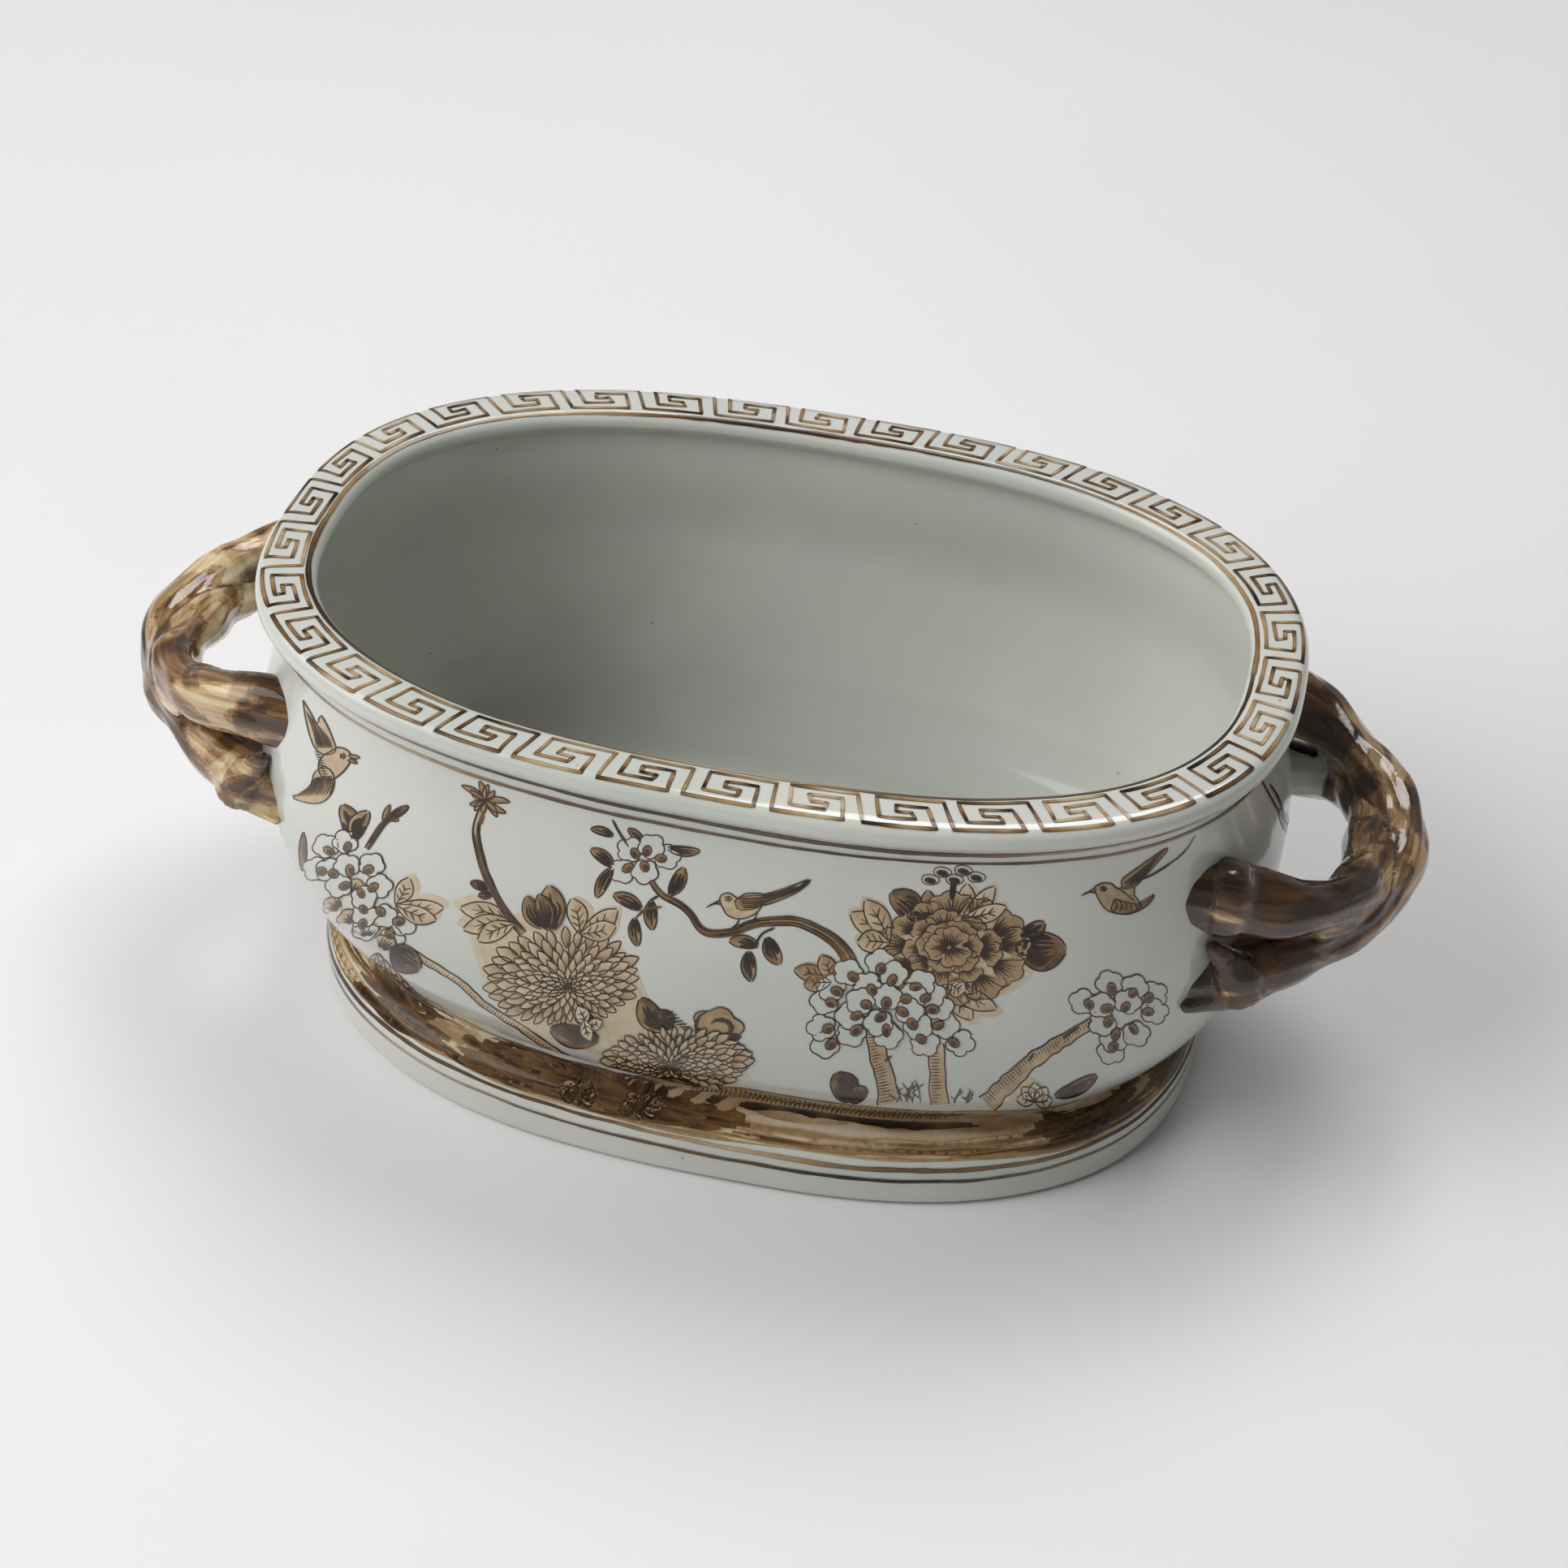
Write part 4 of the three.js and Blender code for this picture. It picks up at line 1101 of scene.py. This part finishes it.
def paint_peony(p):
    """A large peony with its leaves and a sprig of berries."""
    p.lobed_leaf((1096, 1163), ((1048, 1126), (1066, 1110), (1056, 1162)), 28, 0.26, (-6, -6))
    p.dark_leaf((1134, 1136), (1098, 1100), 34, 0.08, 5, 0.55)
    p.dark_leaf((1140, 1134), (1144, 1098), 20, 0.05, 4, 0.5)
    p.lobed_leaf((1186, 1132), ((1192, 1090), (1226, 1094), (1240, 1118)), 21, 0.16, (6, -4))
    p.lobed_leaf((1168, 1212), ((1198, 1258), (1228, 1244), (1190, 1222)), 24, 0.2, (12, 10))
    p.dark_leaf((1254, 1168), (1314, 1172), 48, 0.06, 6, 0.56)
    p.dark_leaf((1258, 1156), (1288, 1138), 20, 0.05, 3, 0.5)
    p.wash(p.oval((1180, 1172), (98, 62), 8), 0.2, WASH, 0.7)
    p.peony((1180, 1170), (1168, 1168), (101, 66), LEAF + 1)
    p.stroke([(1176, 1084), (1174, 1097), (1173, 1110)], 7, 0.95, LINE)
    for x, y in ((1161, 1077), (1187, 1075), (1176, 1086), (1203, 1083), (1146, 1086)):
        p.loop(p.oval((x, y - 1), (12, 6.5), 5, 20, 3, 0.1), 0.8 * p.line_width, 0.7, LEAF)
        p.wash(p.oval((x, y), (7.5, 3.8), 10, 14), 0.8, LEAF + 1, 0.9)
        p.wash(p.oval((x + 1.5, y + 0.6), (4.6, 2.4), 10, 10), 0.98, LEAF + 2, 0.9)


def paint_trees(p):
    """Blossoming trees with hatched trunks, and plants at their feet."""
    p.trunk([(1076, 1272), (1082, 1305), (1091, 1334), (1096, 1362)], (21, 20, 22, 30))
    p.trunk([(1154, 1288), (1155, 1325), (1157, 1363)], (19, 18, 22))
    p.trunk([(1346, 1262), (1305, 1287), (1270, 1310), (1240, 1338), (1216, 1363)], (13, 16, 18, 22, 24))
    for root, tip in (((1090, 1310), (1099, 1303)), ((1268, 1308), (1274, 1298)), ((1310, 1280), (1330, 1266))):
        p.stroke([root, tip], 1.6 * p.line_width, 0.8, LINE)
    p.lobed_leaf((1024, 1212), ((978, 1196), (1012, 1178), (990, 1216)), 22, 0.4, (0, -2))
    trees = (
        (1085, 1194), (1051, 1204), (1099, 1208), (1074, 1220), (1031, 1222), (1067, 1238), (1092, 1236),
        (1116, 1231), (1024, 1236), (1055, 1252), (1085, 1254), (1112, 1247), (1149, 1244), (1156, 1264),
        (1020, 1268), (1055, 1270), (1092, 1270), (1124, 1262), (1024, 1287), (1135, 1281), (1175, 1285),
        (1128, 1216), (1140, 1230),
    )
    p.blossoms(trees, 18.5)
    right = (
        (1370, 1219), (1396, 1224), (1342, 1238), (1364, 1243), (1387, 1241), (1416, 1230), (1415, 1247),
        (1397, 1268), (1375, 1275), (1372, 1290), (1366, 1259),
    )
    p.blossoms(right, 17.5)
    p.dark_leaf((1044, 1360), (1030, 1324), 34, 0.1, 6, 0.66)
    p.dark_leaf((1046, 1360), (1068, 1344), 20, -0.05, 3, 0.66)
    p.twigs((1126, 1361), 32, 6)
    p.twigs((1186, 1361), 22, 5)
    for k in range(5):
        a = math.radians(-180 + 45 * k)
        p.leaf((1275, 1358), (1275 + 22 * math.cos(a), 1356 + 21 * math.sin(a)), 17, 0.14, 0.8, 0.05, 1, LEAF + 0.5 * k)
    p.wash(p.oval((1262, 1345), (24, 16)), 0.16, WASH, 0.8)
    p.dark_leaf((1300, 1352), (1352, 1326), 17, 0.05, 5, 0.62)


def paint_right_bird(p):
    """A bird in flight, with long wing lines."""
    body = [(1349, 1094), (1359, 1089), (1371, 1090), (1377, 1096), (1385, 1094), (1398, 1091), (1398, 1103)]
    body += [(1405, 1113), (1404, 1120), (1391, 1126), (1375, 1126), (1363, 1121), (1356, 1112), (1351, 1102)]
    low_wing = [(1374, 1108), (1392, 1113), (1408, 1114), (1416, 1109), (1424, 1101), (1418, 1112), (1405, 1122)]
    low_wing += [(1388, 1127), (1370, 1123)]
    high_wing = [(1384, 1096), (1383, 1085), (1397, 1074), (1420, 1058), (1441, 1045), (1427, 1063), (1412, 1079)]
    high_wing += [(1400, 1092)]
    p.shape(body, 0.34, (1377, 1109))
    p.shape(low_wing, 0.5, (1394, 1118), LEAF + 1)
    p.shape(high_wing, 0.42, (1404, 1076), LEAF + 2)
    for k in range(6):
        root, tip = mix(np.array([1385, 1090]), np.array([1401, 1091]), k / 5), mix(np.array([1434, 1050]), np.array([1412, 1078]), k / 5)
        p.stroke([root, tip], None, 0.84, LINE)
        p.stroke([(1373 + 6 * k, 1109 + k), (1377 + 6 * k, 1116), (1373 + 7 * k, 1124 - 0.8 * k)], None, 0.86, LINE)
        p.stroke([(1380 + 3 * k, 1097 + 2 * k), (1388 + 2 * k, 1101 + 2 * k)], None, 0.8, LINE)
    p.stroke([(1398, 1087), (1421, 1078), (1449, 1060), (1463, 1047), (1474, 1030)], 1.2 * p.line_width, 0.82, LINE, (0.1, 0.6))
    for end in ((1350, 1095), (1351, 1101)):
        p.stroke([end, (1342, 1100), (1332, 1105)], 1.1 * p.line_width, 0.86, LINE, (0.1, 0.6))
    p.eye((1360, 1096), (4.2, 2.8))
    p.stroke([(1556, 962), (1572, 990), (1586, 1012)], 2.4, 0.75)
    p.stroke([(1566, 966), (1578, 985), (1588, 1016)], 2.4, 0.75)
    p.dark_leaf((1580, 996), (1592, 1028), 10, 0, 2, 0.6)


MOTIFS = (paint_left_side, paint_chrysanthemums, paint_branch, paint_peony, paint_trees, paint_right_bird)


def paint_pot():
    ink = painted_glaze("brown_painting")
    rim = Painting("rim_key_band", rim_place, 11, KEY_CELL, KEY_STROKE)
    paint_keys(rim)
    paint_ring(rim, *LIP_LINE, 0.62, 0.35)
    rim.finish(ink, "bark_glaze")
    lines = Painting("brown_lines", band_place, 12, 3.2, 1.8)
    for height, width in NECK_LINES:
        paint_ring(lines, height, width, 0.6, 0.3)
    for height, width in FOOT_LINES:
        paint_ring(lines, height, width, 0.64, 0.6)
    lines.finish(ink, "bark_glaze")
    ground = Painting("ground_band", band_place, 13, 3.2, 1.8)
    paint_ground(ground)
    ground.finish(ink, "bark_glaze")
    for name, place, seed in (("front_painting", photo_place, 14), ("back_painting", back_place, 15)):
        side = Painting(name, place, seed, PHOTO_CELL, PHOTO_LINE)
        for motif in MOTIFS:
            motif(side)
        side.finish(ink, "bark_glaze")


# Handles. Each is two branches that wind round each other once. They are laid
# out as tubes, fused into one skin of clay and then carved and glazed.

VOXEL = 1.1
FILLER_RADIUS = 10.6
STATIONS = 260


def handle_plan(angle, crest):
    outward = np.maximum(np.cos(angle), 0) ** (2 / HANDLE_PLAN_POWER)
    across = signed_power(np.sin(angle), 2 / HANDLE_PLAN_POWER)
    return np.stack([mix(HANDLE_ROOT_X, crest, outward), HANDLE_HALF_SPAN * across], -1)


def handle_line(crest, steps=STATIONS):
    """Even stations along a handle: the share of a quarter turn, place, outward direction and length."""
    fine = np.linspace(-math.pi / 2, math.pi / 2, 4001)
    places = handle_plan(fine, crest)
    ways = np.concatenate([[0], np.cumsum(np.linalg.norm(np.diff(places, axis=0), axis=1))])
    angles = np.interp(np.linspace(0, ways[-1], steps + 1), ways, fine)
    before, after = np.maximum(angles - 0.01, -math.pi / 2), np.minimum(angles + 0.01, math.pi / 2)
    along = unit(handle_plan(after, crest) - handle_plan(before, crest))
    outward = np.stack([along[:, 1], -along[:, 0]], -1)
    return angles / (math.pi / 2), handle_plan(angles, crest), outward, ways[-1]


def branch_line(side, upper_at_front, crest, height):
    """Centre line of one branch, its radius, and the way along the handle."""
    lift = 1 if upper_at_front else -1
    way, place, outward, length = handle_line(crest)
    spread = smooth_step((np.abs(way) - SPREAD_START) / (1 - SPREAD_START))
    offset = mix(TWIST_OFFSET, PRONG_SPREAD, spread)
    turn = math.pi * smooth_step((way + TWIST_REACH) / (2 * TWIST_REACH))
    upper = upper_at_front == (way < 0)
    radius = mix(STRAND_RADIUS, np.where(upper, UPPER_PRONG_RADIUS, LOWER_PRONG_RADIUS), spread)
    out = -lift * np.sin(turn) * offset
    x = side * (place[:, 0] + outward[:, 0] * out)
    y = place[:, 1] + outward[:, 1] * out
    line = np.stack([x, y, height + lift * np.cos(turn) * offset], -1)
    return line, radius, way * length / 2, way


def tube(line, radii, sides=24):
    """A closed tube with one radius for each point of its line."""
    along = unit(np.gradient(line, axis=0))
    first = unit(np.cross(along, [0.1, 0.2, 1]))
    second = np.cross(along, first)
    a = 2 * math.pi * np.arange(sides) / sides
    ring = first[:, None] * np.cos(a)[:, None] + second[:, None] * np.sin(a)[:, None]
    points = (line[:, None] + ring * np.asarray(radii)[:, None, None]).reshape(-1, 3)
    last = (len(line) - 1) * sides
    ends = [list(range(sides))[::-1], list(range(last, last + sides))]
    return points, grid_faces(len(line), sides, True) + ends


def horn(points, radii, steps=14):
    """A tube through a few points, for thorns, tails and knots."""
    line = np.asarray(points, float)
    t = np.linspace(0, len(line) - 1, steps)
    knots = np.arange(len(line))
    smooth = np.stack([np.interp(t, knots, column) for column in line.T], 1)
    for _ in range(3):
        smooth[1:-1] = (smooth[:-2] + 2 * smooth[1:-1] + smooth[2:]) / 4
    return tube(smooth, np.interp(t, knots, radii), 28)


def fused(parts):
    """One closed skin round all the parts: points, faces and edges."""
    points, faces = [], []
    for part_points, part_faces in parts:
        start = sum(len(p) for p in points)
        points.append(part_points)
        faces += [[k + start for k in face] for face in part_faces]
    mesh = bpy.data.meshes.new("clay")
    mesh.from_pydata((np.vstack(points) * MM).tolist(), [], faces)
    mesh.update()
    clay = bpy.data.objects.new("clay", mesh)
    bpy.context.scene.collection.objects.link(clay)
    remesh = clay.modifiers.new("fuse", "REMESH")
    remesh.mode = "VOXEL"
    remesh.voxel_size = VOXEL * MM
    skin = bpy.data.meshes.new_from_object(clay.evaluated_get(bpy.context.evaluated_depsgraph_get()))
    out = np.zeros(len(skin.vertices) * 3)
    skin.vertices.foreach_get("co", out)
    quads = [list(face.vertices) for face in skin.polygons]
    edges = np.zeros(len(skin.edges) * 2, np.int64)
    skin.edges.foreach_get("vertices", edges)
    for item in (clay, mesh, skin):
        (bpy.data.objects if item is clay else bpy.data.meshes).remove(item)
    return out.reshape(-1, 3) / MM, quads, edges.reshape(-1, 2)


def smoothed(points, edges, times):
    """Relaxes the skin without letting it shrink."""
    count = np.bincount(edges.ravel(), minlength=len(points))[:, None]
    for k in range(2 * times):
        total = np.zeros_like(points)
        np.add.at(total, edges[:, 0], points[edges[:, 1]])
        np.add.at(total, edges[:, 1], points[edges[:, 0]])
        points = points + (total / count - points) * (0.6 if k % 2 == 0 else -0.52)
    return points


def skin_normals(points, faces):
    quads = np.array(faces)
    corners = points[quads]
    cross = np.cross(corners[:, 2] - corners[:, 0], corners[:, 3] - corners[:, 1])
    normals = np.zeros_like(points)
    for k in range(4):
        np.add.at(normals, quads[:, k], cross)
    return unit(normals)


def outside_share(points, depth=0.0):
    """How far out points lie, as a share of the outside wall drawn in by depth."""
    v = outside_v(points[:, 2])
    length, width = (np.interp(v, SECTION_V, SECTION[:, k]) for k in (1, 2))
    x = np.abs(points[:, 0]) / (RIM_HALF_LENGTH - length - depth)
    y = np.abs(points[:, 1]) / (RIM_HALF_WIDTH - width - depth)
    return (x**PLAN_POWER + y**PLAN_POWER) ** (1 / PLAN_POWER)


def seated(points, depth):
    """Points that would go deeper into the wall than depth stay at that depth."""
    share = outside_share(points, depth)
    inside = share < 1
    points[inside, :2] /= share[inside, None]
    return points


def wall_x(y, z):
    v = outside_v(np.array([z]))
    length, width = (np.interp(v, SECTION_V, SECTION[:, k])[0] for k in (1, 2))
    flat = 1 - (abs(y) / (RIM_HALF_WIDTH - width)) ** PLAN_POWER
    return (RIM_HALF_LENGTH - length) * max(flat, 0) ** (1 / PLAN_POWER)


def handle_extras(side, height):
    """Thorns and pointed tails, as on living wood, and a collar."""
    parts = []
    z = height - PRONG_SPREAD
    for end in (-1, 1):
        def at(out, round_wall, up, end=end):
            y = end * (HANDLE_HALF_SPAN + 1 + round_wall)
            return [side * (wall_x(y, z + up) + out), y, z + up]

        thorn = [at(10, 1, 0), at(8.5, 4, 8), at(6.5, 6, 14), at(4.5, 8, 19), at(3, 9.5, 24)]
        parts.append(horn(thorn, [11, 9, 5.6, 3, 1.2]))
        tail = [at(15, -10, 1), at(11, -5, 0), at(6, 1, -2.5), at(2.5, 7, -4.5), at(0.6, 13, -5.5)]
        parts.append(horn(tail, [7, 9.5, 8, 4.5, 1.4]))
        if side > 0:
            z_up, y_up = height + PRONG_SPREAD, end * HANDLE_HALF_SPAN
            x_up = wall_x(y_up, z_up)
            collar = [[x_up + out, y_up, z_up] for out in (-2, 3, 7, 11)]
            parts.append(horn(collar, [14.4, 14.4, 13.6, 9], 12))
    return parts


def handle(name, side, crest, height, material, slot):
    lines = [branch_line(side, upper_at_front, crest, height) for upper_at_front in (True, False)]
    parts = []
    for k, (line, radius, _, way) in enumerate(lines):
        lumps = 1 + (0.075 * (1 - smooth_step(np.abs(way) * 1.6)) + 0.02) * np.sin(19 * way * (1 - 2 * k) + 1.2)
        parts.append(tube(line, radius * lumps))
    heart = (lines[0][0] + lines[1][0]) / 2
    twisted = np.abs(lines[0][3]) < TWIST_REACH + 0.06
    parts.append(tube(heart[twisted], FILLER_RADIUS * np.cos(lines[0][3][twisted] * 1.6) ** 0.3))
    points, faces, edges = fused(parts + handle_extras(side, height))
    points = smoothed(points, edges, 8)
    nearest, distances = [], []
    for line, radius, _, _ in lines:
        away = np.stack([
            np.linalg.norm(points - line[k], axis=1) / radius[k] for k in range(0, len(line), 2)
        ])
        nearest.append(2 * away.argmin(0))
        distances.append(away.min(0))
    first = distances[0] < distances[1]
    pick = np.where(first, nearest[0], nearest[1])
    centre = np.where(first[:, None], lines[0][0][nearest[0]], lines[1][0][nearest[1]])
    along = lines[0][2][pick]
    way = lines[0][3][pick]
    soft = smoothed(points, edges, 34)
    points = mix(soft, points, smooth_step((np.abs(way) - TWIST_REACH) / 0.22)[:, None])
    normals = skin_normals(points, faces)
    radial = points - centre
    tangent = np.gradient(lines[0][0], axis=0)[pick]
    tangent = unit(tangent)
    sideways = unit(np.cross(tangent, [0, 0, 1]))
    around = np.arctan2(np.sum(radial * sideways, -1), np.sum(radial * np.cross(sideways, tangent), -1))
    radius = np.linalg.norm(radial, axis=1)
    seam = np.abs(distances[0] - distances[1])
    thorn = smooth_step((np.minimum(*distances) - 1.12) / 0.2)
    phase = np.where(first, 0.4, 2.9)
    swell = (
        0.45 * np.sin(along / 9 + 2 * around + phase)
        + 0.35 * np.sin(along / 4.3 - 3 * around + 2 * phase)
        + 0.14 * np.sin(11 * around + 2.2 * np.sin(along / 11 + phase))
    )
    groove = 0.25 * np.exp(-((seam / 0.07) ** 2)) * (np.abs(way) < 0.9)
    full = mix(-0.85, 0.5, smooth_step((np.abs(way) - TWIST_REACH) / 0.3))
    points = points + normals * (swell + full - groove)[:, None]
    hidden = outside_share(points, 4.5) < 1
    points = seated(points, 3.0)
    normals = skin_normals(points, faces)
    unrolled = np.stack([along, radius * np.cos(around), radius * np.sin(around)], -1)
    outward = handle_line(crest)[2][pick] * (side, 1)
    inward = -np.sum(normals[:, :2] * outward, -1)
    bare = smooth_step((way - 0.42) / 0.25) * smooth_step((inward - 0.1) / 0.5)
    bare = bare * (points[:, 2] < height + 2) * (side > 0)
    values = {"strand": unrolled * MM, "seam": seam * (1 - thorn), "bare": bare}
    used = ~hidden[np.array(faces)].all(1)
    faces = [face for face, keep in zip(faces, used) if keep]
    return new_piece(name, *without_loose(points, faces, normals, material, slot, values))


def without_loose(points, faces, normals, material, slot, values):
    """Leaves out the points that no face uses."""
    quads = np.array(faces)
    kept, renumbered = np.unique(quads, return_inverse=True)
    faces = renumbered.reshape(quads.shape).tolist()
    values = {key: value[kept] for key, value in values.items()}
    return points[kept], faces, material, slot, normals[kept], values


def bark_glaze(name, dark):
    """Streaky brown glaze brushed along the branches, tan where it is thin."""
    nodes = Nodes(name)
    along = nodes.vector("strand")
    place = nodes.place()
    streaks = nodes.noise(nodes.scaled(along, (16, 260, 260)), 1, 5, 0.62, 0.6)
    patches = nodes.noise(nodes.scaled(along, (21, 48, 48)), 1, 3, 0.45, 1.0)
    pools = nodes.noise(place, 30, 2, 0.5, 0.8)
    patch = nodes.maths("MULTIPLY", nodes.ranged(patches, 0.44, 0.56), 0.42)
    pool = nodes.maths("MULTIPLY", nodes.ranged(pools, 0.46, 0.54), 0.2)
    rims = nodes.maths("ABSOLUTE", nodes.maths("SUBTRACT", patches, 0.47))
    rim = nodes.ranged(rims, 0.022, 0.0, 0.0, 0.16)
    amount = nodes.maths("ADD", nodes.maths("MULTIPLY", streaks, 1.0), nodes.maths("ADD", patch, pool))
    amount = nodes.maths("ADD", amount, nodes.maths("SUBTRACT", rim, 0.42 - dark))
    seam = nodes.ranged(nodes.value("seam"), 0.12, 0.02, 0.0, 0.2)
    amount = nodes.maths("ADD", amount, seam, True)
    tint = nodes.ramp(
        amount,
        (0.0, srgb(206, 190, 156)),
        (0.2, srgb(178, 152, 112)),
        (0.4, srgb(134, 103, 68)),
        (0.6, srgb(88, 62, 39)),
        (0.88, srgb(50, 35, 23)),
    )
    bare = nodes.ranged(nodes.maths("ADD", nodes.value("bare"), nodes.maths("MULTIPLY", patches, 0.5)), 0.66, 0.78)
    tint = nodes.mixed(bare, tint, glaze_colour(nodes))
    shader = nodes.shader
    nodes.put(shader.inputs["Base Color"], tint)
    nodes.put(shader.inputs["Roughness"], nodes.ranged(nodes.noise(place, 40, 2), 0.3, 0.7, 0.09, 0.18))
    shader.inputs["IOR"].default_value = 1.52
    shader.inputs["Coat Weight"].default_value = 0.4
    shader.inputs["Coat Roughness"].default_value = 0.05
    nodes.bump(nodes.noise(nodes.scaled(along, (70, 420, 420)), 1, 3), 0.3, 0.0008)
    return nodes.material


# Stage

BACKDROP_START, BACKDROP_BEND, BACKDROP_TOP = 3600, 1400, 3600


def make_floor():
    """Plain pale sheet that rises into a backdrop all round."""
    nodes = Nodes("pale_sheet")
    tone = nodes.ranged(nodes.noise(nodes.place(), 1.3, 3), 0.3, 0.7)
    nodes.put(nodes.shader.inputs["Base Color"], nodes.mixed(tone, srgb(228, 227, 227), srgb(224, 223, 223)))
    nodes.shader.inputs["Roughness"].default_value = 0.6
    profile = [(r, 0.0) for r in np.linspace(0, BACKDROP_START, 16)[1:]]
    bend = np.linspace(0, math.pi / 2, 13)[1:]
    profile += [(BACKDROP_START + BACKDROP_BEND * math.sin(a), BACKDROP_BEND * (1 - math.cos(a))) for a in bend]
    profile += [(BACKDROP_START + BACKDROP_BEND, z) for z in np.linspace(BACKDROP_BEND, BACKDROP_TOP, 5)[1:]]
    columns = 96
    turns = 2 * math.pi * np.arange(columns) / columns
    points = [[r * math.cos(a), r * math.sin(a), z] for r, z in profile for a in turns]
    faces = grid_faces(len(profile), columns, True)
    faces += [[len(points), j, (j + 1) % columns] for j in range(columns)]
    points.append([0, 0, 0])
    floor = new_piece("floor", points, [face[::-1] if len(face) > 3 else face for face in faces], nodes.material, None)


def area_light(name, place, target, size, power, mirrored=True):
    data = bpy.data.lights.new(name, "AREA")
    data.shape = "RECTANGLE"
    data.size, data.size_y = size
    data.energy = power
    light = bpy.data.objects.new(name, data)
    bpy.context.scene.collection.objects.link(light)
    place, target = np.array(place, float), np.array(target, float)
    back = unit(place - target)
    right = unit(np.cross([0, 0, 1], back))
    axes = np.eye(4)
    axes[:3, 0], axes[:3, 1], axes[:3, 2], axes[:3, 3] = right, np.cross(back, right), back, place
    light.matrix_world = Matrix(axes.tolist())
    light.visible_glossy = mirrored


def make_light():
    world = bpy.data.worlds.new("studio_air")
    world.use_nodes = True
    background = world.node_tree.nodes["Background"]
    background.inputs["Color"].default_value = (0.98, 0.98, 1.0, 1)
    background.inputs["Strength"].default_value = 0.1
    bpy.context.scene.world = world
    area_light("left_window", (-2.0, -0.35, 2.2), (0, 0, 0.05), (2.0, 2.0), 24)
    area_light("front_window", (-1.7, -1.4, 2.0), (0, 0, 0.05), (1.8, 1.8), 55, False)
    area_light("back_window", (0.2, 1.2, 2.7), (0, 0, 0.05), (1.5, 1.5), 42)
    bpy.context.scene.view_settings.view_transform = "Standard"


make_camera()
make_floor()
make_light()

WHITE = white_glaze("white_glaze")
INSIDE = white_glaze("inner_glaze")
PLAN_COLUMNS = 288
outside = pot_skin("glazed_outside", 0, LIP_ROW, PLAN_COLUMNS, WHITE, "white_glaze", "start")
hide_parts("foot_ring", "bowl_wall", "rim_flange")
inside = pot_skin("glazed_inside", LIP_ROW, len(SECTION) - 1, PLAN_COLUMNS, INSIDE, "inner_glaze", "end")
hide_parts("bowl_floor")

paint_pot()

BARK = {"left": bark_glaze("bark_glaze", 0.0), "right": bark_glaze("dark_bark_glaze", 0.2)}
SLOTS = {"left": "bark_glaze", "right": "dark_bark_glaze"}
for side_name, side in (("left", -1), ("right", 1)):
    sizes = (HANDLE_CREST_X[side_name], HANDLE_HEIGHT[side_name])
    piece = handle(f"{side_name}_branch_handle", side, *sizes, BARK[side_name], SLOTS[side_name])
    nodes = [f"{side_name}_strand_upper_at_front", f"{side_name}_strand_lower_at_front"]
    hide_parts(*nodes, f"{side_name}_front_thorn", f"{side_name}_back_thorn")
